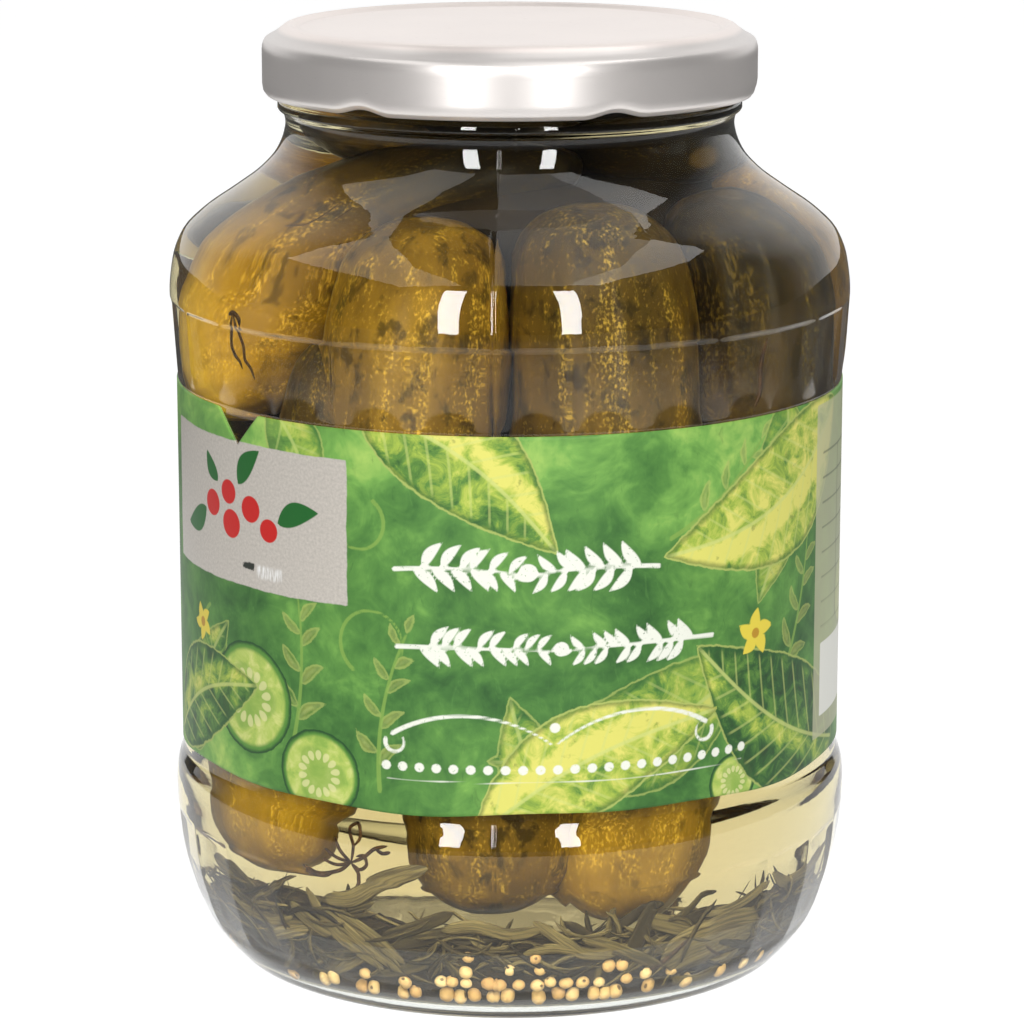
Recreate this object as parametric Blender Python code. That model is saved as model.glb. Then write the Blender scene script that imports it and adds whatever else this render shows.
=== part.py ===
# Shut glass jar of whole pickled cucumbers, in metres, +Z up, front towards -Y.
# The origin is the middle of the contact ring that the jar stands on.

import math
import random

import bmesh
import bpy
from mathutils import Matrix, Vector

MM = 0.001

# Glass: outline from the foot to the rim, as (radius, height) in millimetres
FOOT_RING = (44.8, 48.6)
PUSH_UP_RADIUS, PUSH_UP_HEIGHT = 43.6, 1.0
PUNT_HEIGHT = 2.6
HEEL = [(49.9, 0.6), (52.6, 3.7), (54.5, 6.4), (56.2, 9.9), (57.4, 13.5), (58.4, 17.0), (59.3, 22.3),
        (59.7, 27.2)]
LOWER_BULGE = [(59.8, 30.8), (59.3, 34.7)]
PANEL_RADIUS, PANEL_BOTTOM, PANEL_TOP = 58.15, 37.4, 103.7
SHOULDER_STEP = (58.5, 104.2)
FACET_FLOOR = 58.5
SHOULDER = [(59.0, 108.1), (59.35, 113.4), (59.6, 118.4), (59.0, 124.0), (57.3, 128.5), (53.8, 132.0),
            (48.7, 135.5), (43.8, 139.1), (40.7, 142.6), (39.35, 145.8)]
NECK = [(39.05, 147.6), (39.3, 149.1), (40.4, 150.4), (40.3, 151.4), (39.5, 152.2)]
FINISH = [(39.5, 160.9), (38.4, 161.9), (36.3, 161.3)]

# Glass: inner wall from the mouth to the floor
CAVITY = [(36.2, 147.2), (37.3, 143.2), (39.9, 139.4), (44.8, 135.6), (50.0, 132.0), (53.6, 128.6),
          (56.0, 123.6), (56.8, 118.0), (55.3, 104.5), (55.3, 38.4), (56.8, 30.4), (56.3, 23.2), (54.9, 16.2),
          (53.2, 9.6), (50.6, 5.5), (45.0, 2.8)]
CAVITY_FLOOR = 3.8

# Glass: flat vertical panels round the heel and under the shoulder
FACETS = 28
FACET_PHASE = -3.5
GLASS_SEGMENTS = 2 * FACETS
UPPER_FACETS = (100.0, 119.6)
UPPER_FACET_APOTHEM, UPPER_FACET_APOTHEM_AT, UPPER_FACET_SLOPE = 58.5, 107.6, 0.065
LOWER_FACETS = (5.0, 27.0)
LOWER_FACET_FADE = 4.0

# Lid: pressed metal, with six lugs formed in its rolled edge
LID_SEGMENTS = 60
LID_UNDERSIDE = [(34.4, 163.2), (35.4, 162.4), (40.3, 162.3), (41.6, 161.6), (42.4, 160.2), (42.4, 155.4),
                 (41.4, 154.7)]
LID_CURL = [(40.75, 153.7), (41.0, 152.8), (42.0, 152.5), (42.8, 153.3)]
LID_OUTSIDE = [(43.0, 154.6), (43.0, 160.3), (42.6, 161.9), (41.1, 162.8), (39.5, 163.9), (38.1, 164.6),
               (37.2, 164.05)]
LID_CENTRE_UNDER, LID_CENTRE_TOP = 163.2, 164.05
LUGS, LUG_AZIMUTH, LUG_HALF_WIDTH, LUG_RISE = 6, -35.6, 8.0, 1.0
LUG_ZONE_TOP = 156.0

# Label: a paper band glued all round the flat of the body
LABEL_INNER, LABEL_OUTER = 58.4, 58.65
LABEL_BOTTOM, LABEL_TOP = 38.9, 103.1
LABEL_WAVES = [(5, 0.35, 20.0), (11, 0.22, 75.0)]
NOTCH_AZIMUTH, NOTCH_HALF_WIDTH, NOTCH_DEPTH = -51.6, 5.7, 5.9
LABEL_COLUMNS = 72

# Pickles that stand at the wall: azimuth, radius and height of each end, diameter, bow, in degrees and mm
STANDING = [
    ((-4, 40.6, 18.4), (-6, 39.0, 79.0), 28.6, 1.0),
    ((22, 39.8, 16.2), (43, 39.5, 80.0), 29.4, -1.0),
    ((-61, 40.2, 20.2), (-57, 39.5, 80.0), 28.4, 1.0),
    ((80, 38.5, 45.0), (78, 40.0, 98.0), 27.0, 1.0),
    ((122, 39.5, 36.0), (118, 40.0, 92.0), 28.0, 1.0),
    ((168, 40.4, 18.6), (163, 39.5, 80.0), 28.6, 1.0),
    ((211, 40.4, 21.4), (207, 39.5, 82.0), 28.0, 1.0),
    ((254, 39.5, 36.0), (252, 40.0, 94.0), 27.6, 1.0),
    ((-27, 40.4, 70.0), (-19, 38.2, 132.4), 29.2, 1.2),
    ((22, 40.2, 72.0), (21, 37.4, 135.9), 29.4, 1.2),
    ((70, 40.4, 74.0), (66, 38.4, 133.6), 29.4, 1.0),
    ((110, 40.2, 70.0), (105, 38.4, 132.0), 28.4, 1.0),
    ((152, 40.4, 68.0), (149, 38.0, 134.4), 29.0, 1.0),
    ((196, 40.2, 70.0), (193, 38.2, 132.6), 28.6, 1.0),
    ((240, 40.0, 62.0), (238, 39.0, 110.0), 28.0, 1.0),
    ((-36, 39.8, 64.0), (-35, 38.8, 117.0), 26.0, 1.0),
]
# Pickles that lie under the lid: both ends as x, y and z, diameter, bow
LYING = [
    ((-50.5, -9.0, 102.0), (8.0, -9.0, 145.0), 27.8, 1.0),
    ((29.0, -8.0, 140.0), (2.0, 27.0, 144.0), 26.0, 1.0),
    ((-25.0, -7.0, 149.5), (12.0, 22.0, 146.0), 25.0, 1.0),
    ((-18.0, 24.0, 131.0), (30.0, 22.0, 134.0), 26.0, 1.0),
]
CORE = [(14.0, 40.0), (28.5, 46.0), (29.0, 70.0), (28.5, 100.0), (29.0, 124.0), (20.0, 134.0)]
CORE_SIDES = 12
PICKLE_SIDES, PICKLE_RINGS = 9, 7
PICKLE_BLUNTNESS = 4.2

# Bed of dill stems and mustard seeds: a crescent banked up against the front wall, thinning to both ends
BANK_SPREAD, BANK_SEGMENTS = 118.0, 22
BANK_HALF_WIDTH, BANK_STEEPNESS, BANK_LEAST = 125.0, 1.6, 0.12
BANK_HEIGHT, BANK_FOOT, CREST_DROP = 16.4, 5.6, 0.6
BANK_RISES = [(76.0, 36.0, 4.0), (-50.0, 34.0, 4.4)]
BANK_WAVES, WAVE_HEIGHT = [(7, 0.0), (11, 1.0)], 0.4
BANK_UNDER = [(37.0, 3.7), (44.4, 3.5)]
BANK_WALL_GAP, CREST_WIDTH, CREST_POINT = 2.2, 2.4, 5
BANK_TOE, BANK_BACK = (37.3, 5.2), (1.0, 0.6, 0.2, 0.0)
BANK_HEART = (42.0, 4.4)
STEMS, STEM_LENGTH, STEM_WIDTH, STEM_THICK = 14, 22.0, 2.4, 1.2
STEM_SINK, STEM_SPREAD = 0.45, 94
SEEDS, SEED_RADIUS = 34, 1.15
SEED_WALL_GAP, SEED_ROW_HEIGHT, SEED_ROWS, SEED_ROW_RISE = 1.95, 6.4, 3, 2.1
SEED_SPREAD = 74
BED_SEED = 12


def material(name, colour, roughness, metallic=0.0):
    made = bpy.data.materials.new(name)
    made.use_nodes = True
    shader = made.node_tree.nodes["Principled BSDF"]
    shader.inputs["Base Color"].default_value = (*colour, 1.0)
    shader.inputs["Roughness"].default_value = roughness
    shader.inputs["Metallic"].default_value = metallic
    made.diffuse_color = (*colour, 1.0)
    return made


def add_object(name, mesh_data, look):
    """Turns a bmesh in millimetres into a named object in metres."""
    bmesh.ops.transform(mesh_data, matrix=Matrix.Scale(MM, 4), verts=mesh_data.verts)
    bmesh.ops.recalc_face_normals(mesh_data, faces=mesh_data.faces)
    mesh = bpy.data.meshes.new(name)
    mesh_data.to_mesh(mesh)
    mesh_data.free()
    mesh.shade_smooth()
    mesh.set_sharp_from_angle(angle=math.radians(35))
    mesh.materials.append(look)
    made = bpy.data.objects.new(name, mesh)
    bpy.context.scene.collection.objects.link(made)
    return made


def around(radius, azimuth, height):
    """The point at this azimuth in degrees, measured from the front towards +X."""
    angle = math.radians(azimuth)
    return Vector((radius * math.sin(angle), -radius * math.cos(angle), height))


def bridged(mesh_data, rings, first_pole, last_pole):
    """Joins rings of points, each a list of the same length, and closes both ends on a pole."""
    rows = [[mesh_data.verts.new(point) for point in ring] for ring in rings]
    count = len(rows[0])
    for lower, upper in zip(rows, rows[1:]):
        for i in range(count):
            j = (i + 1) % count
            mesh_data.faces.new((lower[i], lower[j], upper[j], upper[i]))
    for row, pole in ((rows[0], first_pole), (rows[-1], last_pole)):
        tip = mesh_data.verts.new(pole)
        for i in range(count):
            mesh_data.faces.new((row[i], row[(i + 1) % count], tip))


def facet_ratio(azimuth):
    """Distance to a flat panel at this azimuth, over the distance to its middle line."""
    pitch = 360 / FACETS
    from_middle = (azimuth - FACET_PHASE) % pitch - pitch / 2
    return 1 / math.cos(math.radians(from_middle))


def faceted(radius, height, azimuth):
    """The body's radius there, once the flat panels are pressed into it."""
    ratio = facet_ratio(azimuth)
    low, high = UPPER_FACETS
    if low < height < high and height > PANEL_TOP:
        apothem = UPPER_FACET_APOTHEM + UPPER_FACET_SLOPE * (height - UPPER_FACET_APOTHEM_AT)
        return max(min(radius, apothem * ratio), min(radius, FACET_FLOOR))
    low, high = LOWER_FACETS
    if low < height < high:
        share = min(1, (height - low) / LOWER_FACET_FADE, (high - height) / LOWER_FACET_FADE)
        corner = 1 / math.cos(math.radians(180 / FACETS))
        return radius * (1 - share * (1 - ratio / corner))
    return radius


def glass_rings():
    foot = [(PUSH_UP_RADIUS, PUSH_UP_HEIGHT), (FOOT_RING[0], 0), (FOOT_RING[1], 0)]
    panel = [(PANEL_RADIUS, PANEL_BOTTOM), (PANEL_RADIUS, PANEL_TOP), SHOULDER_STEP]
    outside = foot + HEEL + LOWER_BULGE + panel + SHOULDER + NECK + FINISH
    azimuths = [FACET_PHASE + 360 / GLASS_SEGMENTS * i for i in range(GLASS_SEGMENTS)]
    rings = [[around(faceted(r, z, a), a, z) for a in azimuths] for r, z in outside]
    rings += [[around(r, a, z) for a in azimuths] for r, z in CAVITY]
    return rings


def make_glass():
    mesh_data = bmesh.new()
    bridged(mesh_data, glass_rings(), (0, 0, PUNT_HEIGHT), (0, 0, CAVITY_FLOOR))
    return add_object("jar_glass", mesh_data, material("jar_glass", (0.80, 0.86, 0.80), 0.03))


def lug_lift(azimuth, height):
    """How far the rolled edge is raised there: an arch at each lug, fading out up the skirt."""
    pitch = 360 / LUGS
    away = (azimuth - LUG_AZIMUTH + pitch / 2) % pitch - pitch / 2
    if abs(away) >= LUG_HALF_WIDTH or height >= LUG_ZONE_TOP:
        return 0
    return LUG_RISE * math.cos(math.pi / 2 * away / LUG_HALF_WIDTH) ** 2


def make_lid():
    azimuths = [LUG_AZIMUTH + 360 / LID_SEGMENTS * i for i in range(LID_SEGMENTS)]
    outline = LID_UNDERSIDE + LID_CURL + LID_OUTSIDE
    rings = [[around(r, a, z + lug_lift(a, z)) for a in azimuths] for r, z in outline]
    mesh_data = bmesh.new()
    bridged(mesh_data, rings, (0, 0, LID_CENTRE_UNDER), (0, 0, LID_CENTRE_TOP))
    return add_object("lid", mesh_data, material("lid", (0.80, 0.79, 0.79), 0.35, 0.6))


def label_bottom(azimuth):
    wave = sum(size * math.sin(math.radians(times * azimuth + phase)) for times, size, phase in LABEL_WAVES)
    return LABEL_BOTTOM + wave


def label_top(azimuth):
    away = abs((azimuth - NOTCH_AZIMUTH + 180) % 360 - 180)
    return LABEL_TOP - NOTCH_DEPTH * max(0, 1 - away / NOTCH_HALF_WIDTH)


def make_label():
    even = [360 / LABEL_COLUMNS * i - 180 for i in range(LABEL_COLUMNS)]
    notch = [NOTCH_AZIMUTH + NOTCH_HALF_WIDTH * share for share in (-1, 0, 1)]
    clear = 360 / LABEL_COLUMNS / 2
    azimuths = sorted([a for a in even if all(abs(a - n) > clear for n in notch)] + notch)
    mesh_data = bmesh.new()
    rows = []
    for radius, edge in (
        (LABEL_INNER, label_bottom), (LABEL_OUTER, label_bottom),
        (LABEL_OUTER, label_top), (LABEL_INNER, label_top)
    ):
        rows.append([mesh_data.verts.new(around(radius, a, edge(a))) for a in azimuths])
    for row, after in zip(rows, rows[1:] + rows[:1]):
        for i in range(len(azimuths)):
            j = (i + 1) % len(azimuths)
            mesh_data.faces.new((row[i], row[j], after[j], after[i]))
    return add_object("label", mesh_data, material("label", (0.06, 0.36, 0.12), 0.45))


def pickle_mesh(start, end, diameter, bow):
    """A round cucumber between two tips: blunt ends, and bowed outwards from the jar's axis."""
    mesh_data = bmesh.new()
    start, end = Vector(start), Vector(end)
    axis = (end - start).normalized()
    middle = (start + end) / 2
    out = Vector((middle.x, middle.y, 0)).normalized()
    side = axis.cross(out).normalized()
    out = side.cross(axis)
    rings = []
    for i in range(1, PICKLE_RINGS + 1):
        along = (1 - math.cos(math.pi * i / (PICKLE_RINGS + 1))) / 2
        thick = diameter / 2 * (1 - abs(2 * along - 1) ** PICKLE_BLUNTNESS) ** (1 / 2)
        centre = start.lerp(end, along) + out * bow * 4 * along * (1 - along)
        turns = [2 * math.pi * k / PICKLE_SIDES for k in range(PICKLE_SIDES)]
        rings.append([centre + thick * (out * math.cos(t) + side * math.sin(t)) for t in turns])
    bridged(mesh_data, rings, start, end)
    return mesh_data


def standing_ends(pickle):
    (low_azimuth, low_radius, low), (high_azimuth, high_radius, high), diameter, bow = pickle
    return around(low_radius, low_azimuth, low), around(high_radius, high_azimuth, high), diameter, bow


def fuse(core, pieces):
    """Unites the pieces with the core, then keeps the one outer shell: sealed hollows and scraps go."""
    group = bpy.data.collections.new(core.name + "_pieces")
    bpy.context.scene.collection.children.link(group)
    for piece in pieces:
        bpy.context.scene.collection.objects.unlink(piece)
        group.objects.link(piece)
    union = core.modifiers.new("fuse", "BOOLEAN")
    union.operation = "UNION"
    union.operand_type = "COLLECTION"
    union.collection = group
    union.solver = "EXACT"
    fused = bmesh.new()
    fused.from_object(core, bpy.context.evaluated_depsgraph_get())
    core.modifiers.remove(union)
    keep_outer_shell(fused)
    fused.to_mesh(core.data)
    fused.free()
    core.data.shade_smooth()
    core.data.set_sharp_from_angle(angle=math.radians(50))
    for piece in pieces:
        bpy.data.objects.remove(piece)
    bpy.data.collections.remove(group)


def keep_outer_shell(mesh_data):
    left = set(mesh_data.faces)
    shells = []
    while left:
        shell, edge_of_shell = set(), [left.pop()]
        while edge_of_shell:
            face = edge_of_shell.pop()
            shell.add(face)
            near = {other for edge in face.edges for other in edge.link_faces} & left
            left -= near
            edge_of_shell.extend(near)
        shells.append(shell)
    shells.sort(key=len)
    bmesh.ops.delete(mesh_data, geom=[face for shell in shells[:-1] for face in shell], context="FACES")


def make_pickles():
    look = material("pickles", (0.30, 0.20, 0.04), 0.4)
    azimuths = [360 / CORE_SIDES * i for i in range(CORE_SIDES)]
    mesh_data = bmesh.new()
    rings = [[around(r, a, z) for a in azimuths] for r, z in CORE]
    bridged(mesh_data, rings, (0, 0, CORE[0][1]), (0, 0, CORE[-1][1]))
    core = add_object("pickles", mesh_data, look)
    pickles = [standing_ends(pickle) for pickle in STANDING] + LYING
    pieces = [add_object(f"pickle_{i}", pickle_mesh(*pickle), look) for i, pickle in enumerate(pickles)]
    fuse(core, pieces)
    return core


def wall_radius(height):
    """The glass's inner radius at this height, between its floor and the label."""
    for (wide, high), (narrow, low) in zip(CAVITY, CAVITY[1:]):
        if low <= height <= high:
            return narrow + (wide - narrow) * (height - low) / (high - low)
    return CAVITY[-1][0]


def eased(share):
    share = min(1, max(0, share))
    return share * share * (3 - 2 * share)


def bank_section(azimuth):
    """The bank's outline across it there: its underside, the side by the wall, the crest and the back slope."""
    share = eased(BANK_STEEPNESS * (1 - abs(azimuth) / BANK_HALF_WIDTH))
    share = BANK_LEAST + (1 - BANK_LEAST) * share
    rises = [high * math.exp(-(((azimuth - middle) / wide) ** 2)) for middle, wide, high in BANK_RISES]
    waves = sum(math.sin(times * math.radians(azimuth) + phase) for times, phase in BANK_WAVES)
    crest = BANK_HEIGHT + sum(rises) + WAVE_HEIGHT * waves
    levels = (BANK_FOOT, (BANK_FOOT + crest) / 2, crest - CREST_DROP)
    outline = BANK_UNDER + [(wall_radius(z) - BANK_WALL_GAP, z) for z in levels]
    crest_radius = wall_radius(crest) - BANK_WALL_GAP - CREST_WIDTH
    toe_radius, toe = BANK_TOE
    for part in BANK_BACK:
        outline.append((toe_radius + (crest_radius - toe_radius) * part, toe + (crest - toe) * eased(part)))
    heart_radius, heart = BANK_HEART
    return [(heart_radius + (r - heart_radius) * share, heart + (z - heart) * share) for r, z in outline]


def stem_mesh(start, heading, rise, bend):
    """A flat strip of stem or leaf, bent sideways, with both faces split alike."""
    mesh_data = bmesh.new()
    rings = []
    joints = 4
    for i in range(joints):
        along = i / (joints - 1)
        angle = math.radians(heading + bend * (along - 0.5))
        ahead = Vector((math.sin(angle), -math.cos(angle), rise))
        across = Vector((math.cos(angle), math.sin(angle), 0)) * STEM_WIDTH / 2
        up = Vector((0, 0, STEM_THICK / 2))
        centre = Vector(start) + ahead * STEM_LENGTH * (along - 0.5)
        rings.append([centre - across - up, centre + across - up, centre + across + up, centre - across + up])
    bridged(mesh_data, rings, sum(rings[0], Vector()) / 4, sum(rings[-1], Vector()) / 4)
    return mesh_data


def seed_mesh(centre):
    mesh_data = bmesh.new()
    bmesh.ops.create_icosphere(
        mesh_data, subdivisions=1, radius=SEED_RADIUS, matrix=Matrix.Translation(centre)
    )
    return mesh_data


def make_bed():
    look = material("dill_bed", (0.16, 0.12, 0.05), 0.7)
    draw = random.Random(BED_SEED)
    mesh_data = bmesh.new()
    azimuths = [BANK_SPREAD * (2 * i / BANK_SEGMENTS - 1) for i in range(BANK_SEGMENTS + 1)]
    sections = [[around(r, a, z) for r, z in bank_section(a)] for a in azimuths]
    tips = [sum(section, Vector()) / len(section) for section in (sections[0], sections[-1])]
    bridged(mesh_data, sections, *tips)
    core = add_object("dill_bed", mesh_data, look)
    pieces = []
    for i in range(STEMS):
        azimuth = STEM_SPREAD * (2 * i / (STEMS - 1) - 1) + draw.uniform(-4, 4)
        radius, height = bank_section(azimuth)[CREST_POINT]
        place = around(radius, azimuth, height - STEM_SINK)
        heading, rise, bend = azimuth + draw.uniform(80, 100), draw.uniform(-0.04, 0.04), draw.uniform(10, 35)
        stem = stem_mesh(place, heading, rise, bend)
        pieces.append(add_object(f"stem_{i}", stem, look))
    for i in range(SEEDS):
        azimuth = SEED_SPREAD * (2 * i / SEEDS - 1) + draw.uniform(-1, 1)
        height = SEED_ROW_HEIGHT + SEED_ROW_RISE * (i % SEED_ROWS) + draw.uniform(-0.2, 0.2)
        place = around(wall_radius(height) - SEED_WALL_GAP, azimuth, height)
        pieces.append(add_object(f"seed_{i}", seed_mesh(place), look))
    fuse(core, pieces)
    return core


def main():
    for thing in list(bpy.data.objects):
        bpy.data.objects.remove(thing)
    make_glass()
    make_lid()
    make_label()
    make_pickles()
    make_bed()


main()
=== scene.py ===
import math

import bpy
import numpy as np
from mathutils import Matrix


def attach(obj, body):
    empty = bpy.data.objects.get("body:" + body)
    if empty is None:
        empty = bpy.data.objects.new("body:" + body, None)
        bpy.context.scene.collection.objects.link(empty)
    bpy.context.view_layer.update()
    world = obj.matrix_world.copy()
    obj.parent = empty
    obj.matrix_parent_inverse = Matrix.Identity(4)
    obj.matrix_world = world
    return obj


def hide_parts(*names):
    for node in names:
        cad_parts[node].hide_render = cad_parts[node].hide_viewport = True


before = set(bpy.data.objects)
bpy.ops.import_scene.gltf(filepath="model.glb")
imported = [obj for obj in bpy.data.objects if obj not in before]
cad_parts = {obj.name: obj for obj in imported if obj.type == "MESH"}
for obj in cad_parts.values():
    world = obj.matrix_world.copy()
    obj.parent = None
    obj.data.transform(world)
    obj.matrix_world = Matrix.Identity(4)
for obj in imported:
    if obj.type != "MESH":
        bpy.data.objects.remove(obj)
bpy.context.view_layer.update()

mm = 0.001
scene = bpy.context.scene
print("jar: frame loaded with", len(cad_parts), "nodes")


# Curves and surfaces as whole arrays

def ringPoint(radius, azimuth, height):
    # a place in mm at an azimuth in degrees, from the front (-Y) towards +X: (r sin a, -r cos a, z)
    turn = np.radians(azimuth)
    parts = np.broadcast_arrays(radius * np.sin(turn), -radius * np.cos(turn), height)
    return np.stack(parts, -1).astype(float)


def cubicThrough(known, values, at):
    # shape-keeping cubic: a point's slope is the harmonic mean of its neighbours, or none at a turning point
    known, values = np.asarray(known, float), np.asarray(values, float)
    step = np.diff(known)
    rise = np.diff(values) / step
    slope = np.concatenate([rise[:1], np.zeros(len(known) - 2), rise[-1:]])
    same = rise[:-1] * rise[1:] > 0
    left, right = 2 * step[1:] + step[:-1], step[1:] + 2 * step[:-1]
    safeFirst, safeNext = np.where(same, rise[:-1], 1.0), np.where(same, rise[1:], 1.0)
    slope[1:-1] = np.where(same, (left + right) / (left / safeFirst + right / safeNext), 0.0)
    i = np.clip(np.searchsorted(known, at, side="right") - 1, 0, len(known) - 2)
    t = np.clip((at - known[i]) / step[i], 0, 1)
    return (values[i] * (1 + 2 * t) * (1 - t) ** 2 + values[i + 1] * t * t * (3 - 2 * t)
            + step[i] * (slope[i] * t * (1 - t) ** 2 - slope[i + 1] * t * t * (1 - t)))


def alongOutline(outline, rows):
    # an outline of (radius, height) points as a smooth curve with this many rows, evenly spaced along it
    outline = np.asarray(outline, float)
    chord = np.concatenate([[0], np.cumsum(np.linalg.norm(np.diff(outline, axis=0), axis=1))])
    at = np.linspace(0, chord[-1], rows)
    return np.stack([cubicThrough(chord, outline[:, 0], at), cubicThrough(chord, outline[:, 1], at)], -1)


def turnedRound(outline, azimuths):
    # a lathe: every (radius, height) of the outline at every azimuth
    return ringPoint(outline[:, :1], azimuths, outline[:, 1:])


def roundColumns(number):
    return np.arange(number) * 360 / number


def smoothStep(low, high, value):
    share = np.clip((value - low) / (high - low), 0, 1)
    return share * share * (3 - 2 * share)


def softMin(first, second, width):
    # the smaller of the two, with the crease rounded over about this width
    return 0.5 * (first + second - np.sqrt((first - second) ** 2 + width * width))


def sharedNoise(place, size, seed, waves=14):
    # smooth unevenness between about -1 and 1: a sum of sine waves with random headings, about size mm long
    pick = np.random.default_rng(seed)
    heading = pick.normal(size=(waves, place.shape[-1]))
    heading /= np.linalg.norm(heading, axis=1, keepdims=True)
    pace = 2 * np.pi / size * pick.uniform(0.6, 1.6, waves)
    angle = place @ (heading * pace[:, None]).T + pick.uniform(0, 2 * np.pi, waves)
    return np.sin(angle).sum(-1) / math.sqrt(waves)


def joinSurfaces(name, grids, material, startPole=True, endPole=True, closeRows=False, layers=None):
    # grids in mm: copies x rows x columns x 3. Rows follow the outline and columns go round and close.
    # A pole is one point in the middle of the first or last ring, with a fan of triangles to it.
    grids = np.asarray(grids, float)
    if grids.ndim == 3:
        grids = grids[None]
        layers = {key: np.asarray(value, float)[None] for key, value in (layers or {}).items()}
    layers = {key: np.asarray(value, float) for key, value in (layers or {}).items()}
    copies, rows, columns = grids.shape[:3]
    index = np.arange(copies * rows * columns).reshape(copies, rows, columns)
    beside = np.roll(index, -1, axis=2)
    if closeRows:
        corners = [index, beside, np.roll(beside, -1, axis=1), np.roll(index, -1, axis=1)]
    else:
        corners = [index[:, :-1], beside[:, :-1], beside[:, 1:], index[:, 1:]]
    quads = np.stack(corners, -1).reshape(-1, 4)
    points = [grids.reshape(-1, 3)]
    carried = {key: [value.reshape(copies * rows * columns, -1)] for key, value in layers.items()}
    fans = []
    count = copies * rows * columns
    for wanted, row in ((startPole, 0), (endPole, -1)):
        if not wanted:
            continue
        tip = np.broadcast_to((count + np.arange(copies))[:, None], (copies, columns))
        fan = [tip, beside[:, row], index[:, row]] if row == 0 else [tip, index[:, row], beside[:, row]]
        fans.append(np.stack(fan, -1).reshape(-1, 3))
        points.append(grids[:, row].mean(axis=1))
        for key, value in layers.items():
            carried[key].append(value[:, row].mean(axis=1).reshape(copies, -1))
        count += copies
    points = np.concatenate(points) * mm
    fans = np.concatenate(fans) if fans else np.zeros((0, 3), int)
    halves = np.concatenate([quads[:, [0, 1, 2]], quads[:, [0, 2, 3]], fans])
    first, second, third = (points[halves[:, k]] for k in range(3))
    if np.einsum("ij,ij->i", first, np.cross(second, third)).sum() < 0:  # a negative volume is inside out
        quads, fans = quads[:, ::-1], fans[:, ::-1]
    mesh = bpy.data.meshes.new(name)
    mesh.vertices.add(len(points))
    mesh.vertices.foreach_set("co", points.ravel())
    corner = np.concatenate([quads.ravel(), fans.ravel()]).astype(np.int32)
    starts = np.concatenate([np.arange(len(quads)) * 4, len(quads) * 4 + np.arange(len(fans)) * 3])
    mesh.loops.add(len(corner))
    mesh.loops.foreach_set("vertex_index", corner)
    mesh.polygons.add(len(starts))
    mesh.polygons.foreach_set("loop_start", starts.astype(np.int32))
    mesh.update(calc_edges=True)
    mesh.shade_smooth()
    for key, parts in carried.items():
        values = np.concatenate(parts)
        flat = values.shape[1] == 1
        layer = mesh.attributes.new(key, "FLOAT" if flat else "FLOAT_VECTOR", "POINT")
        layer.data.foreach_set("value" if flat else "vector", values.astype(np.float32).ravel())
    mesh.materials.append(material)
    piece = bpy.data.objects.new(name, mesh)
    scene.collection.objects.link(piece)
    return piece


def dress(piece, slot=None, *replaced):
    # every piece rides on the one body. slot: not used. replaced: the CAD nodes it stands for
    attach(piece, "root")
    if replaced:
        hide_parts(*replaced)
    triangles = sum(len(face.vertices) - 2 for face in piece.data.polygons)
    print(f"jar: {piece.name}, {triangles} triangles")
    return piece


# Shader helpers

def paint(red, green, blue):
    # a colour as the eye reads it, 0 to 255, turned into the linear values that Blender mixes
    share = np.array([red, green, blue]) / 255
    linear = np.where(share <= 0.04045, share / 12.92, ((share + 0.055) / 1.055) ** 2.4)
    return (*linear.tolist(), 1.0)


def addNode(tree, kind, inputs=None, **settings):
    # inputs go by name or number, each a plain value or a socket to link
    node = tree.nodes.new(kind)
    for key, value in settings.items():
        setattr(node, key, value)
    for key, value in (inputs or {}).items():
        if isinstance(value, bpy.types.NodeSocket):
            tree.links.new(value, node.inputs[key])
        else:
            node.inputs[key].default_value = value
    return node


def calc(tree, operation, *values, clamp=False):
    node = addNode(tree, "ShaderNodeMath", dict(enumerate(values)), operation=operation, use_clamp=clamp)
    return node.outputs[0]


def spread(tree, value, low, high, toLow=0.0, toHigh=1.0):
    # the value's share between low and high, eased at both ends
    inputs = {0: value, 1: low, 2: high, 3: toLow, 4: toHigh}
    return addNode(tree, "ShaderNodeMapRange", inputs, interpolation_type="SMOOTHSTEP").outputs[0]


def stirred(tree, value, pattern, amount, clamp=False):
    # value + amount * (pattern - 0.5)
    return calc(tree, "MULTIPLY_ADD", calc(tree, "SUBTRACT", pattern, 0.5), amount, value, clamp=clamp)


def ragged(tree, depth, less, pattern, amount):
    # depth - less + amount * pattern, for an edge that wanders
    return calc(tree, "MULTIPLY_ADD", pattern, amount, calc(tree, "SUBTRACT", depth, less))


def squares(tree, first, second):
    return calc(tree, "MULTIPLY_ADD", first, first, calc(tree, "MULTIPLY", second, second))


def mixColour(tree, share, first, second, blend="MIX"):
    inputs = {0: share, 6: first, 7: second}
    node = addNode(tree, "ShaderNodeMix", inputs, data_type="RGBA", blend_type=blend, clamp_factor=True)
    return node.outputs[2]


def ramp(tree, value, *stops):
    # stops are (position, colour), each colour as the eye reads it
    node = addNode(tree, "ShaderNodeValToRGB", {0: value})
    marks = node.color_ramp.elements
    for mark, (position, colour) in zip(marks, stops):
        mark.position, mark.color = position, paint(*colour)
    for position, colour in stops[2:]:
        marks.new(position).color = paint(*colour)
    return node.outputs[0]


def overlay(tree, colour, *coats):
    # coats laid over a colour. Each is (value, low, high, colour, share at low, share at high)
    for value, low, high, tone, *shares in coats:
        colour = mixColour(tree, spread(tree, value, low, high, *shares), colour, paint(*tone))
    return colour


def place(tree, name=None, scale=(1, 1, 1)):
    # where a pattern sits, in mm: the object's own coordinates or a named attribute of the mesh
    if name:
        source = reading(tree, name, "Vector")
    else:
        source = addNode(tree, "ShaderNodeTexCoord").outputs["Object"]
        scale = tuple(part / mm for part in scale)
    return addNode(tree, "ShaderNodeMapping", {"Vector": source, "Scale": scale}).outputs[0]


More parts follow.
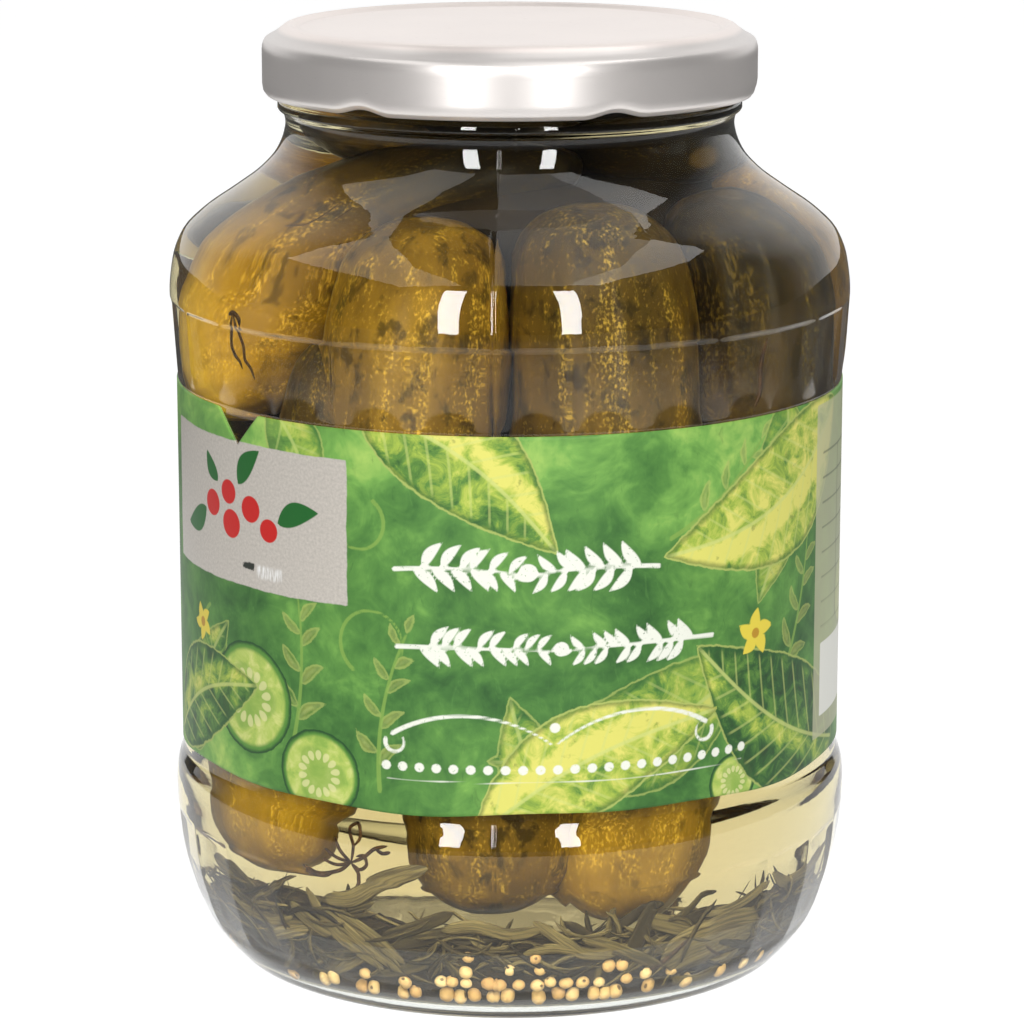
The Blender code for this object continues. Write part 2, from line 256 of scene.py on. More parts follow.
def reading(tree, name, output="Fac"):
    # a named attribute of the mesh, as a number or, with "Vector", as a vector
    return addNode(tree, "ShaderNodeAttribute", attribute_name=name).outputs[output]


def partsOf(tree, vector):
    return addNode(tree, "ShaderNodeSeparateXYZ", {0: vector}).outputs


def lengthOf(tree, vector):
    return addNode(tree, "ShaderNodeVectorMath", {0: vector}, operation="LENGTH").outputs["Value"]


def noise(tree, where, size, detail=3.0, rough=0.5, twist=0.0):
    inputs = {"Vector": where, "Scale": 1 / size, "Detail": detail, "Roughness": rough, "Distortion": twist}
    return addNode(tree, "ShaderNodeTexNoise", inputs).outputs[0]


def relief(tree, height, deep, strength=1.0):
    # a bump this many mm deep
    bump = addNode(tree, "ShaderNodeBump", {"Height": height, "Distance": deep * mm, "Strength": strength})
    return bump.outputs[0]


def newMaterial(name):
    material = bpy.data.materials.new(name)
    material.use_nodes = True
    material.node_tree.nodes.clear()
    return material, material.node_tree


def finishMaterial(tree, inputs, volume=None):
    shader = addNode(tree, "ShaderNodeBsdfPrincipled", inputs)
    output = addNode(tree, "ShaderNodeOutputMaterial", {"Surface": shader.outputs[0]})
    if volume:
        tree.links.new(volume, output.inputs["Volume"])
    return shader, output


def finishWet(material, tree, colour, rough, more=()):
    # for what lies in brine
    finishMaterial(tree, {
        "Base Color": colour, "Roughness": rough, "Specular IOR Level": wetShine, **dict(more)})
    return material


def makePlainLook(name, size, dark, pale, rough):
    # two tones in a cloudy pattern
    material, tree = newMaterial(name)
    colour = ramp(tree, noise(tree, place(tree), size, 3.0), (0.3, dark), (0.7, pale))
    return finishWet(material, tree, colour, rough)


def clearMaterial(name, ior, colour, tint=None, density=0.0, ripple=None, edgeTint=(1, 1, 1, 1)):
    # a clear body that lets lamps through. tint and density give the colour that depth takes away,
    # ripple the size and depth of its unevenness in mm
    material, tree = newMaterial(name)
    inputs = {"Base Color": colour, "IOR": ior, "Roughness": 0.0, "Transmission Weight": 1.0,
              "Specular Tint": edgeTint}
    if ripple:
        inputs["Normal"] = relief(tree, noise(tree, place(tree), ripple[0], 2.0), ripple[1])
    absorbed = {"Color": tint, "Density": density}
    depth = tint and addNode(tree, "ShaderNodeVolumeAbsorption", absorbed).outputs[0]
    shader, output = finishMaterial(tree, inputs, depth)
    through = addNode(tree, "ShaderNodeBsdfTransparent")
    isShadow = addNode(tree, "ShaderNodeLightPath").outputs["Is Shadow Ray"]
    both = addNode(tree, "ShaderNodeMixShader", {0: isShadow, 1: shader.outputs[0], 2: through.outputs[0]})
    tree.links.new(both.outputs[0], output.inputs["Surface"])
    return material


# Glass: one closed wall, from under the foot, up the outside, over the rim and down the inside

glassShape = {
    "foot": [(0.4, 2.6), (20.0, 2.4), (36.0, 1.7), (43.6, 1.0), (44.8, 0.0), (48.6, 0.0), (49.9, 0.6)],
    "body": [
        (49.9, 0.6), (52.6, 3.7), (54.5, 6.4), (56.2, 9.9), (57.4, 13.5), (58.4, 17.0), (59.3, 22.3),
        (59.7, 27.2), (59.8, 30.8), (59.3, 34.7), (58.15, 37.4), (58.15, 102.3), (58.5, 104.2), (59.0, 108.1),
        (59.35, 113.4), (59.6, 118.4), (59.0, 124.0), (57.3, 128.5), (53.8, 132.0), (48.7, 135.5),
        (43.8, 139.1), (40.7, 142.6), (39.35, 145.8), (39.05, 147.6), (39.3, 149.1), (40.4, 150.3),
        (40.35, 151.4), (39.5, 152.2), (39.5, 160.9)],
    "rim": [(39.5, 160.9), (38.4, 161.9), (36.9, 161.9), (36.3, 161.3)],
    "inside": [
        (36.3, 161.3), (36.2, 147.2), (37.3, 143.2), (39.9, 139.4), (44.8, 135.6), (50.0, 132.0),
        (53.6, 128.6), (56.0, 123.6), (56.8, 118.0), (55.3, 104.5), (55.3, 38.4), (56.8, 30.4), (56.3, 23.2),
        (54.9, 16.2), (53.2, 9.6), (50.6, 5.5), (45.0, 2.8), (20.0, 3.5), (0.4, 3.8)],
    "wall": 17,  # how many points of the inside are the wall, down to the floor
    "rows": [  # the body's rows: from, to, number
        (1.2, 4.0, 5), (4.5, 28.2, 50), (29.2, 37.4, 9), (50.0, 90.0, 2), (101.0, 102.9, 3),
        (103.2, 116.8, 36), (117.0, 117.8, 6), (118.1, 120.6, 6), (121.4, 145.4, 28), (146.0, 153.0, 24),
        (154.6, 160.9, 4)],
    "footRows": 16, "rimRows": 8, "insideRows": 62,
    "panels": 28, "panelCorner": -3.5,
    "panelColumns": [0, 0.03, 0.08, 0.16, 0.26, 0.38, 0.5, 0.62, 0.74, 0.84, 0.92, 0.97],
    "upperPanel": {"from": 103.0, "to": 121.0, "radius": 58.5, "at": 107.6, "slope": 0.065, "floor": 58.45,
                   "ledge": (117.0, 117.8), "turned": 1.4, "turnPace": 2.4},
    "lowerPanel": {"bottom": 4.5, "full": 8.0, "top": 25.6, "gone": 27.0, "to": 28.0, "clear": 1.004},
    "crease": 0.03,
    "bodySeam": -2.5, "neckSeam": 1.7, "neckFrom": 147.5, "seamFrom": 3.0,
    "seamHeight": 0.11, "seamWidth": 0.22, "seamColumns": [-0.5, -0.25, 0, 0.25, 0.5], "columnGap": 0.12,
}


def panelColumns():
    # column azimuths: closer together at the panels' corners, and a few more at the mould seams
    pitch, share = 360 / glassShape["panels"], np.array(glassShape["panelColumns"])
    azimuths = glassShape["panelCorner"] + pitch * (np.arange(glassShape["panels"])[:, None] + share)
    azimuths = azimuths.ravel() % 360
    seams = [glassShape[seam] + side for seam in ("bodySeam", "neckSeam") for side in (0, 180)]
    extra = (np.array(seams)[:, None] + np.array(glassShape["seamColumns"])).ravel() % 360
    azimuths = azimuths[np.abs(azimuths[:, None] - extra).min(axis=1) > glassShape["columnGap"]]
    return np.sort(np.concatenate([azimuths, extra]))


def outerRadius(height, azimuth):
    # the round outline, cut back to flat panels that lie further in: distance / cos(angle off the middle)
    outline = np.array(glassShape["body"])
    radius = cubicThrough(outline[:, 1], outline[:, 0], height)
    pitch = 360 / glassShape["panels"]
    away = np.radians((azimuth - glassShape["panelCorner"]) % pitch - pitch / 2)
    upper, lower, crease = glassShape["upperPanel"], glassShape["lowerPanel"], glassShape["crease"]
    number = np.floor((azimuth - glassShape["panelCorner"]) % 360 / pitch)
    turned = np.radians(upper["turned"]) * np.sin(upper["turnPace"] * number + 1.0)  # no two face quite alike
    flat = (upper["radius"] + upper["slope"] * (height - upper["at"])) / np.cos(away - turned)
    pressed = -softMin(-upper["floor"] + 0 * flat, -softMin(radius, flat, crease), crease)
    pressed = pressed + (radius - pressed) * smoothStep(*upper["ledge"], height)
    radius = np.where((height > upper["from"]) & (height < upper["to"]), pressed, radius)
    corner = math.cos(math.pi / glassShape["panels"])
    lift = smoothStep(lower["top"], lower["gone"], height)
    lift = lift + 1 - smoothStep(lower["bottom"], lower["full"], height)
    flat = radius * (corner + (lower["clear"] - corner) * lift) / np.cos(away)
    radius = np.where(height < lower["to"], softMin(radius, flat, crease), radius)
    onNeck = height >= glassShape["neckFrom"]
    seams = 0
    for seam, there in (("bodySeam", ~onNeck), ("neckSeam", onNeck)):  # thin raised lines, front and back
        turn = (azimuth - glassShape[seam] + 90) % 180 - 90
        seams = seams + np.exp(-(turn / glassShape["seamWidth"]) ** 2) * there
    return radius + glassShape["seamHeight"] * seams * (height > glassShape["seamFrom"])


def makeGlass():
    azimuths = panelColumns()
    heights = np.concatenate([np.linspace(*words) for words in glassShape["rows"]])[:, None]
    body = ringPoint(outerRadius(heights, azimuths), azimuths, heights)
    foot = alongOutline(glassShape["foot"], glassShape["footRows"])
    rim = alongOutline(glassShape["rim"], glassShape["rimRows"])[1:]
    inner = np.concatenate([rim, alongOutline(glassShape["inside"], glassShape["insideRows"])[1:]])
    return np.concatenate([turnedRound(foot, azimuths), body, turnedRound(inner, azimuths)])


glassLook = clearMaterial("clearGlass", 1.5, paint(247, 251, 246), ripple=(3.0, 0.012))
wetGlassLook = clearMaterial("wetGlass", 1.5, paint(250, 253, 249), edgeTint=(0, 0, 0, 1))


def wetInside(piece, material, lowest=0.013):
    # faces above the heel that look towards the axis take the look of glass with brine against it
    mesh = piece.data
    mesh.materials.append(material)
    middle, normal = np.zeros(3 * len(mesh.polygons)), np.zeros(3 * len(mesh.polygons))
    mesh.polygons.foreach_get("center", middle)
    mesh.polygons.foreach_get("normal", normal)
    middle, normal = middle.reshape(-1, 3), normal.reshape(-1, 3)
    towardsAxis = ((middle * normal)[:, :2].sum(axis=1) < 0) & (middle[:, 2] > lowest)
    mesh.polygons.foreach_set("material_index", towardsAxis.astype(np.int32))


glassJar = dress(joinSurfaces("glassJar", makeGlass(), glassLook), "glass", "jar_glass")
wetInside(glassJar, wetGlassLook)


# Brine: a closed liquid that reaches a little way into the wall, up to the lid

brineShape = {"intoWall": 0.35, "surface": 160.4, "top": [36.5, 20.0, 0.4], "columns": 180, "rows": 110}


def makeBrine():
    # the inside outline moved outwards by a little, square to its slope, and closed by a level top
    inside = alongOutline(glassShape["inside"], brineShape["rows"])[::-1]
    inside = inside[inside[:, 1] < brineShape["surface"]]
    slope = np.gradient(inside, axis=0)
    slope /= np.linalg.norm(slope, axis=1, keepdims=True)
    outline = inside + np.stack([slope[:, 1], -slope[:, 0]], -1) * brineShape["intoWall"]
    outline[0] = (brineShape["top"][-1], outline[0, 1])
    top = np.array([(radius, brineShape["surface"]) for radius in brineShape["top"]])
    return turnedRound(np.concatenate([outline, top]), roundColumns(brineShape["columns"]))


brineLook = clearMaterial("paleBrine", 1.34, (1, 1, 1, 1), paint(245, 222, 132), 14.0, edgeTint=(0, 0, 0, 1))
wetShine = 0.06  # what lies in brine hardly shines, as the liquid bends light almost as much as the skin does
dress(joinSurfaces("brine", makeBrine(), brineLook), "glass")


# Lid: pressed tin with a groove round the top and six lugs in its rolled edge

lidShape = {
    "under": [(0.4, 163.2), (34.4, 163.2), (35.4, 162.4), (40.3, 162.3), (41.6, 161.6), (42.4, 160.2),
              (42.4, 155.4), (41.4, 154.7)],
    "curl": [(41.4, 154.7), (40.75, 153.7), (41.0, 152.8), (42.0, 152.5), (42.8, 153.3)],
    "outside": [(42.8, 153.3), (43.0, 154.6), (43.0, 160.3), (42.6, 161.9), (41.1, 162.8), (39.9, 163.7),
                (38.9, 164.4), (38.1, 164.6), (37.2, 164.05), (36.6, 163.75), (35.8, 163.95), (30.0, 164.05),
                (0.4, 164.05)],
    "rows": {"under": 34, "curl": 22, "outside": 90},
    "columns": 360,
    "discFrom": 163.2,
    "lugs": 6, "lugAzimuth": -35.6, "lugHalfWidth": 8.0, "lugRise": 1.0,
    "lugFades": (154.6, 157.4), "lugFrom": 39,  # the heights it fades between, the radius it starts at
}


def makeLid():
    # the outline turned round, its rolled edge lifted at each lug by a squared cosine
    parts = [alongOutline(lidShape[name], rows) for name, rows in lidShape["rows"].items()]
    outline = np.concatenate([parts[0]] + [part[1:] for part in parts[1:]])
    azimuths = roundColumns(lidShape["columns"])
    pitch = 360 / lidShape["lugs"]
    away = (azimuths - lidShape["lugAzimuth"] + pitch / 2) % pitch - pitch / 2
    arch = np.cos(math.pi / 2 * np.clip(away / lidShape["lugHalfWidth"], -1, 1)) ** 2
    low = 1 - smoothStep(*lidShape["lugFades"], outline[:, 1:])
    lift = lidShape["lugRise"] * arch * low * (outline[:, :1] > lidShape["lugFrom"])
    return turnedRound(outline, azimuths) + lift[..., None] * (0, 0, 1)


def makeLidLook():
    # satin silver lacquer: cloudy brightness, a paler disc on top that is painted light for the brighter top,
    # fine scuffs round the skirt
    material, tree = newMaterial("silverLacquer")
    cloud = noise(tree, place(tree), 14.0, 3.0)
    scuff = noise(tree, place(tree, scale=(1, 1, 6)), 1.1, 4.0, 0.65)
    onTop = spread(tree, partsOf(tree, place(tree))[2], lidShape["discFrom"], lidShape["discFrom"] + 0.8)
    skirt = mixColour(tree, cloud, paint(212, 207, 204), paint(224, 218, 214))
    # painted light: the disc is paler than the skirt, for the stronger light that falls on the top
    disc = mixColour(tree, cloud, paint(240, 230, 225), paint(248, 238, 232))
    colour = mixColour(tree, onTop, skirt, disc)
    colour = overlay(tree, colour, (scuff, 0.62, 0.75, (178, 172, 170), 0.0, 0.25))
    rough = calc(tree, "ADD", 0.30, calc(tree, "MULTIPLY", scuff, 0.12))
    grain = relief(tree, noise(tree, place(tree), 0.5, 2.0), 0.006, 0.6)
    finishMaterial(tree, {"Base Color": colour, "Metallic": 0.75, "Roughness": rough, "Normal": grain})
    return material


dress(joinSurfaces("lidShell", makeLid(), makeLidLook()), "lid_metal", "lid")


# Label: a thin paper band round the flat of the body, printed in washes of green.
# Its art is placed by distance round the band from the front and height, both in mm.
# leaf: base place, heading in degrees, length, width, tone from 0 (deep) to 1 (yellow-green).
# slice: middle, radius, tone. flower: middle, petal length, turn. curl: place, heading, length, bend.

labelShape = {
    "inner": 58.05, "outer": 58.6, "bottom": 38.9, "top": 103.1, "rows": 118,
    "columns": [(-100, 100, 0.36), (100, 260, 0.8)],  # from, to, step in degrees
    "waves": [(5, 0.35, 20.0), (11, 0.22, 75.0)],
    "notchAzimuth": -51.6, "notchHalfWidth": 5.7, "notchDepth": 5.9,
    "backLeaf": [
        (54, 106, 258, 36, 17, 0.55), (-70, 40, 62, 30, 13, 0.4), (14, 33, 118, 30, 14, 0.5),
        (-44, 106, -62, 20, 12, 0.5), (44, 62, 196, 50, 20, 0.62), (112, 52, 150, 34, 16, 0.5),
        (148, 96, 230, 38, 17, 0.3), (-118, 92, 200, 34, 16, 0.6), (-150, 50, 20, 36, 16, 0.4)],
    "frontLeaf": [
        (76, 41, 150, 50, 24, 0.3), (74, 102, 203, 52, 22, 0.8), (-6, 35, 24, 48, 19, 0.8),
        (-26, 108, -36, 42, 19, 0.62), (-82, 41, 24, 38, 18, 0.4), (128, 60, 120, 30, 14, 0.9),
        (-104, 60, 150, 32, 15, 0.8), (-168, 88, 190, 34, 15, 0.7)],
    "slice": [
        (-50, 54, 10.4, 0.8), (-34, 43.5, 8.2, 0.5), (41, 41, 5.4, 0.6), (84, 66, 7.0, 0.7),
        (120, 84, 10.5, 0.8), (140, 72, 8, 0.5), (-130, 70, 10, 0.8), (-112, 46, 8, 0.4), (170, 58, 10, 0.7)],
    "flowers": [(46, 66, 4.6, 10.0), (-66, 64, 3.8, 40.0), (-92, 80, 5.0, 0.0), (160, 84, 5.0, 20.0)],
    "flowerHeart": 1.1,
    "sprigs": [  # place, heading, length, bend, leaflets, their length
        (-40, 46, 74, 30, 26, 9, 7.5), (52, 54, 58, 30, 26, 9, 7.0), (-22, 40, 96, 30, -30, 9, 6.5),
        (26, 84, 24, 26, 24, 8, 6.5), (2, 94, 168, 22, -30, 7, 6.0), (-100, 44, 70, 34, 20, 9, 7.0),
        (156, 44, 80, 30, 20, 8, 7.0)],
    "curls": [
        (-26, 62, 150, 26, -250), (60, 84, 20, 24, 260), (-24, 92, -30, 22, -260), (-62, 68, 200, 18, 230)],
    "garlands": [
        (-21, 80.2, 7, 22.5, -14, 13, 6.4), (27, 80.2, 173, 22.5, 14, 13, 6.4),
        (-21, 67.2, 3, 27.5, -6, 17, 5.4), (38, 67.2, 177, 27.5, 6, 17, 5.4)],
    "flourishes": [
        (-21, 51.6, 34, 30, -70), (36, 51.8, 146, 30, 70),
        (-21, 51.6, 250, 7, 230), (36, 51.8, 290, 7, -230)],
    "garlandHearts": [(3.0, 80.4, 1.7), (8.5, 67.4, 1.4), (7.5, 54.0, 1.0)],
    "dotRow": (-21.0, 43.0, 2.9, 46.8, 0.95),  # from, to, spacing, height, radius
    "dotLine": (11.0, 44.6, 32.0, 0.22),  # this and the boxes below: middle, half width, half height
    "patch": (-53.5, 85.6, 25.6, 12.4),
    "panel": (98.0, 72.4, 33.0, 29.6),
    "box": (98.0, 53.0, 30.0, 6.6),
    "worn": (-50.0, 76.9, 1.9, 0.9),
    # where the painted glints on the silver patch lie
    "scratched": (-44.6, 76.4, 3.4, 1.5),
    "ruledLines": [62.4, 66.8, 71.2, 75.6, 80.0, 84.4, 88.8, 93.2],
    "ruledBars": [78.0, 104.0],
    "berries": [(-61.0, 86.0, 2.5), (-55.6, 88.8, 2.3), (-54.8, 83.4, 2.7), (-49.2, 86.8, 2.5),
                (-44.6, 83.8, 2.2)],
    "berryLeaves": [
        (-63.6, 84.6, 205, 10.0, 4.4, 0), (-52.6, 90.6, 48, 9.0, 4.0, 0), (-42.4, 85.4, 18, 9.5, 4.2, 0),
        (-59.0, 90.0, 130, 6.5, 3.2, 0)],
    "stroke": 0.5, "thinStroke": 0.45, "ruledHalf": 0.3,  # half widths
}


def labelEdges(azimuth):
    # a gently waved bottom edge, and a straight top one with its notch: depth * (1 - distance / half width)
    bottom = labelShape["bottom"]
    for times, size, phase in labelShape["waves"]:
        bottom = bottom + size * np.sin(np.radians(times * azimuth + phase))
    away = np.abs((azimuth - labelShape["notchAzimuth"] + 180) % 360 - 180)
    cut = np.clip(1 - away / labelShape["notchHalfWidth"], 0, 1)
    return bottom, labelShape["top"] - labelShape["notchDepth"] * cut


def roundBand(distance):
    # distances round the band, taken the short way
    whole = 2 * np.pi * labelShape["outer"]
    return (distance + whole / 2) % whole - whole / 2


def leafField(across, up, leaves):
    # for the leaf that covers a place best: depth inside its edge, distance along and beside its midrib, tone
    # half width = width / 2 * sin(pi t ^ 0.8) ^ 0.9, beside a bent midrib
    fields = []
    for baseAcross, baseUp, heading, length, width, tone in leaves:
        turn = math.radians(heading)
        dx, dy = roundBand(across - baseAcross), up - baseUp
        along = dx * math.cos(turn) + dy * math.sin(turn)
        t = np.clip(along / length, 0, 1)
        beside = -dx * math.sin(turn) + dy * math.cos(turn) - 0.09 * length * np.sin(np.pi * t)
        half = width / 2 * np.sin(np.pi * t ** 0.8) ** 0.9
        outside = np.maximum(along - length, -along)
        depth = np.where(outside > 0, -np.hypot(outside, beside), (half - np.abs(beside)) * 0.9)
        fields.append(np.stack([depth, along, beside, np.full_like(depth, tone)], -1))
    return topmost(fields)


def roundField(across, up, rounds):
    # for the round that covers a place best: radius less the distance, place as a share of the radius, tone
    fields = []
    for middleAcross, middleUp, radius, *tone in rounds:
        dx, dy = roundBand(across - middleAcross), (up - middleUp) * 1.06
        depth = radius - np.hypot(dx, dy)
        fields.append(np.stack([depth, dx / radius, dy / radius, np.full_like(depth, sum(tone))], -1))
    return topmost(fields)


def boxDepth(across, up, box):
    # how far inside a box's nearest side
    middleAcross, middleUp, halfWide, halfHigh = box
    return np.minimum(halfWide - np.abs(roundBand(across - middleAcross)), halfHigh - np.abs(up - middleUp))


def strokeDepth(across, up, path, halfWidth):
    # half width less the distance to a run of points, which tapers towards its end
    path = np.asarray(path, float)
    start, step = path[:-1], np.diff(path, axis=0)
    dx, dy = roundBand(across[..., None] - start[:, 0]), up[..., None] - start[:, 1]
    t = np.clip((dx * step[:, 0] + dy * step[:, 1]) / (step ** 2).sum(1), 0, 1)
    away = np.hypot(dx - t * step[:, 0], dy - t * step[:, 1])
    share = (np.arange(len(start)) + t) / len(start)
    return (halfWidth * (1 - 0.45 * share) - away).max(-1)


def topmost(fields):
    # of fields that start with a depth, the one that is deepest at each place
    best = fields[0]
    for field in fields[1:]:
        best = np.where(field[..., :1] > best[..., :1], field, best)
    return best


def curl(x, y, heading, length, bend, steps=14):
    # a stem as points: it sets out on a heading and bends evenly
    t = np.linspace(0, 1, steps)
    turn = np.radians(heading + bend * t)
    return np.stack([x + np.cumsum(np.cos(turn)) * length / steps,
                     y + np.cumsum(np.sin(turn)) * length / steps], -1)


def sprig(x, y, heading, length, bend, leaflets, size):
    # a stem with leaflets set by turns on either side: returns its path and the leaflets
    path = curl(x, y, heading, length, bend)
    picked = np.linspace(2, len(path) - 1, leaflets).round().astype(int)
    out = []
    for number, i in enumerate(picked):
        ahead = math.degrees(math.atan2(*(path[i] - path[i - 1])[::-1]))
        side = 0 if i == len(path) - 1 else 48 if number % 2 else -48
        share = 1 - 0.35 * i / len(path)
        out.append((*path[i], ahead + side, size * share, size * 0.36 * share, 0.8))
    return path, out


def makeLabel():
    # a thin band: the outside from its bottom edge to its top one, then the inside as those two edges.
    # With it goes the art: at each point how deep it lies in each motif, and where in it
    art = labelShape
    azimuths = np.concatenate([np.arange(*words) for words in art["columns"]])
    bottom, top = labelEdges((azimuths + 180) % 360 - 180)
    heights = bottom + (top - bottom) * np.linspace(0, 1, art["rows"])[:, None]
    outer = ringPoint(art["outer"], azimuths, heights)
    inner = ringPoint(art["inner"], azimuths, bottom + (top - bottom) * np.array([[1.0], [0.0]]))
    up = np.concatenate([heights, heights[-1:], heights[:1]])
    across = np.broadcast_to(roundBand(np.radians(azimuths) * art["outer"]), up.shape)
    deepest = lambda measure, items, *more: np.max(
        [measure(across, up, item, *more) for item in items], axis=0)
    sprigs, garlands = ([sprig(*words) for words in art[name]] for name in ("sprigs", "garlands"))
    curls, flourishes = ([curl(*words, steps=22) for words in art[name]] for name in ("curls", "flourishes"))
    leaflets, whiteLeaves = ([leaf for _, leaves in group for leaf in leaves] for group in (sprigs, garlands))
    start, end, spacing, height, radius = art["dotRow"]
    dots = [(x, height, radius) for x in np.arange(start, end, spacing)]
    petals = [(x, y, turn + 72 * k, size, size * 0.62, 0)
              for x, y, size, turn in art["flowers"] for k in range(5)]
    low, high = art["ruledLines"][0], art["ruledLines"][-1]
    ruled = [(art["box"][0], line, art["box"][2], art["ruledHalf"]) for line in art["ruledLines"]]
    ruled += [(bar, (low + high) / 2, art["ruledHalf"], (high - low) / 2) for bar in art["ruledBars"]]
    parts = {"labelPlace": np.stack([across, up, 0 * up], -1)}
    for name, measure, items in (
            ("backLeaf", leafField, art["backLeaf"]), ("frontLeaf", leafField, art["frontLeaf"]),
            ("slice", roundField, art["slice"]), ("leaflet", leafField, leaflets)):
        field = measure(across, up, items)
        parts[name], parts[name + "Tone"] = field[..., :3], field[..., 3]
    for name in ("patch", "panel", "box", "worn", "scratched"):
        parts[name + "Depth"] = boxDepth(across, up, art[name])
    parts["lineDepth"] = np.maximum(deepest(strokeDepth, [path for path, _ in sprigs], art["stroke"]),
                                    deepest(strokeDepth, curls, art["thinStroke"]))
    white = [deepest(strokeDepth, [path for path, _ in garlands] + flourishes, art["stroke"]),
             leafField(across, up, whiteLeaves)[..., 0], boxDepth(across, up, art["dotLine"]),
             roundField(across, up, art["garlandHearts"] + dots)[..., 0]]
    parts["whiteDepth"] = np.max(white, axis=0)
    parts["petalDepth"] = leafField(across, up, petals)[..., 0]
    hearts = [(x, y, art["flowerHeart"]) for x, y, _, _ in art["flowers"]]
    parts["heartDepth"] = roundField(across, up, hearts)[..., 0]
    parts["ruledDepth"] = deepest(boxDepth, ruled)
    parts["berryDepth"] = roundField(across, up, art["berries"])[..., 0]
    parts["berryLeaf"] = leafField(across, up, art["berryLeaves"])[..., 0]
    return np.concatenate([outer, inner]), parts


def newMotif(name):
    # a group for a painted motif: from its field, tone and place to its colour and mask
    tree = bpy.data.node_groups.new(name, "ShaderNodeTree")
    for label, kind in (("Field", "Vector"), ("Tone", "Float"), ("Place", "Vector")):
        tree.interface.new_socket(label, in_out="INPUT", socket_type="NodeSocket" + kind)
    for label, kind in (("Colour", "Color"), ("Mask", "Float")):
        tree.interface.new_socket(label, in_out="OUTPUT", socket_type="NodeSocket" + kind)
    given = tree.nodes.new("NodeGroupInput").outputs
    return tree, given, partsOf(tree, given["Field"])


def finishMotif(tree, colour, depth):
    addNode(tree, "NodeGroupOutput", {"Colour": colour, "Mask": spread(tree, depth, -0.05, 0.18)})
    return tree


def makeLeafGroup():
    # a painted leaf: mottled washes, a lighter streak along the midrib, pale veins, a pale rim in a dark one
    tree, given, parts = newMotif("paintedLeaf")
    wobble = noise(tree, given["Place"], 2.4, 4.0, 0.6)
    blotch = noise(tree, given["Place"], 4.6, 6.0, 0.66, 0.8)
    depth = ragged(tree, parts[0], 0.55, wobble, 1.1)
    beside = calc(tree, "ABSOLUTE", parts[2])
    streak = calc(tree, "ABSOLUTE", calc(tree, "SUBTRACT", parts[2], 2.2))
    light = stirred(tree, given["Tone"], blotch, 1.7)
    light = calc(tree, "ADD", light, spread(tree, streak, 0.6, 3.4, 0.34, 0.0), clamp=True)
    colour = ramp(tree, light, (0.0, (26, 52, 28)), (0.28, (40, 80, 36)), (0.52, (80, 120, 48)),
                  (0.76, (144, 164, 62)), (1.0, (196, 192, 96)))
    spots = noise(tree, given["Place"], 2.2, 4.0, 0.6)
    colour = overlay(tree, colour, (spots, 0.60, 0.72, (36, 72, 32), 0.0, 0.4))
    veins = calc(tree, "PINGPONG", calc(tree, "MULTIPLY_ADD", beside, -0.85, parts[1]), 2.1)
    veins = spread(tree, veins, 0.1, 0.45, 1.0, 0.0)
    veins = calc(tree, "MULTIPLY", veins, spread(tree, depth, 0.4, 2.0, 0.0, 0.4))
    midrib = spread(tree, beside, 0.15, 0.5, 0.7, 0.0)
    colour = mixColour(tree, calc(tree, "MAXIMUM", veins, midrib), colour, paint(180, 188, 110))
    colour = overlay(tree, colour, (depth, 0.5, 1.6, (34, 76, 36), 0.6, 0.0),
                     (depth, 0.25, 0.55, (160, 172, 92), 0.75, 0.0))
    return finishMotif(tree, colour, depth)


def makeSliceGroup():
    # a cut round: dark rind, pale flesh, three wetter chambers and a ring of seeds
    tree, given, parts = newMotif("paintedSlice")
    wobble = noise(tree, given["Place"], 2.2, 4.0, 0.6)
    depth = ragged(tree, parts[0], 0.4, wobble, 0.8)
    fromMiddle = calc(tree, "SQRT", squares(tree, parts[1], parts[2]))
    turn = calc(tree, "ARCTAN2", parts[2], parts[1])
    blotch = noise(tree, given["Place"], 4.0, 5.0, 0.62, 0.5)
    flesh = ramp(tree, blotch, (0.32, (124, 156, 66)), (0.5, (158, 176, 84)), (0.68, (194, 196, 122)))
    chamber = calc(tree, "MULTIPLY_ADD", calc(tree, "COSINE", calc(tree, "MULTIPLY", turn, 3.0)), 0.12, 0.56)
    chamber = calc(tree, "SUBTRACT", chamber, fromMiddle)
    spoke = calc(tree, "PINGPONG", calc(tree, "MULTIPLY", turn, 14 / math.pi / 2), 0.5)
    seedAcross = calc(tree, "MULTIPLY", calc(tree, "SUBTRACT", 0.5, spoke), 2.2)
    seedAlong = calc(tree, "MULTIPLY", calc(tree, "SUBTRACT", fromMiddle, 0.42), 7.5)
    seed = squares(tree, seedAcross, seedAlong)
    colour = overlay(tree, flesh, (chamber, -0.03, 0.08, (112, 146, 60), 0.0, 0.6),
                     (seed, 0.5, 0.9, (198, 196, 140), 0.7, 0.0), (fromMiddle, 0.80, 0.90, (76, 124, 48)),
                     (depth, 0.2, 1.0, (28, 66, 32), 1.0, 0.0))
    return finishMotif(tree, colour, depth)


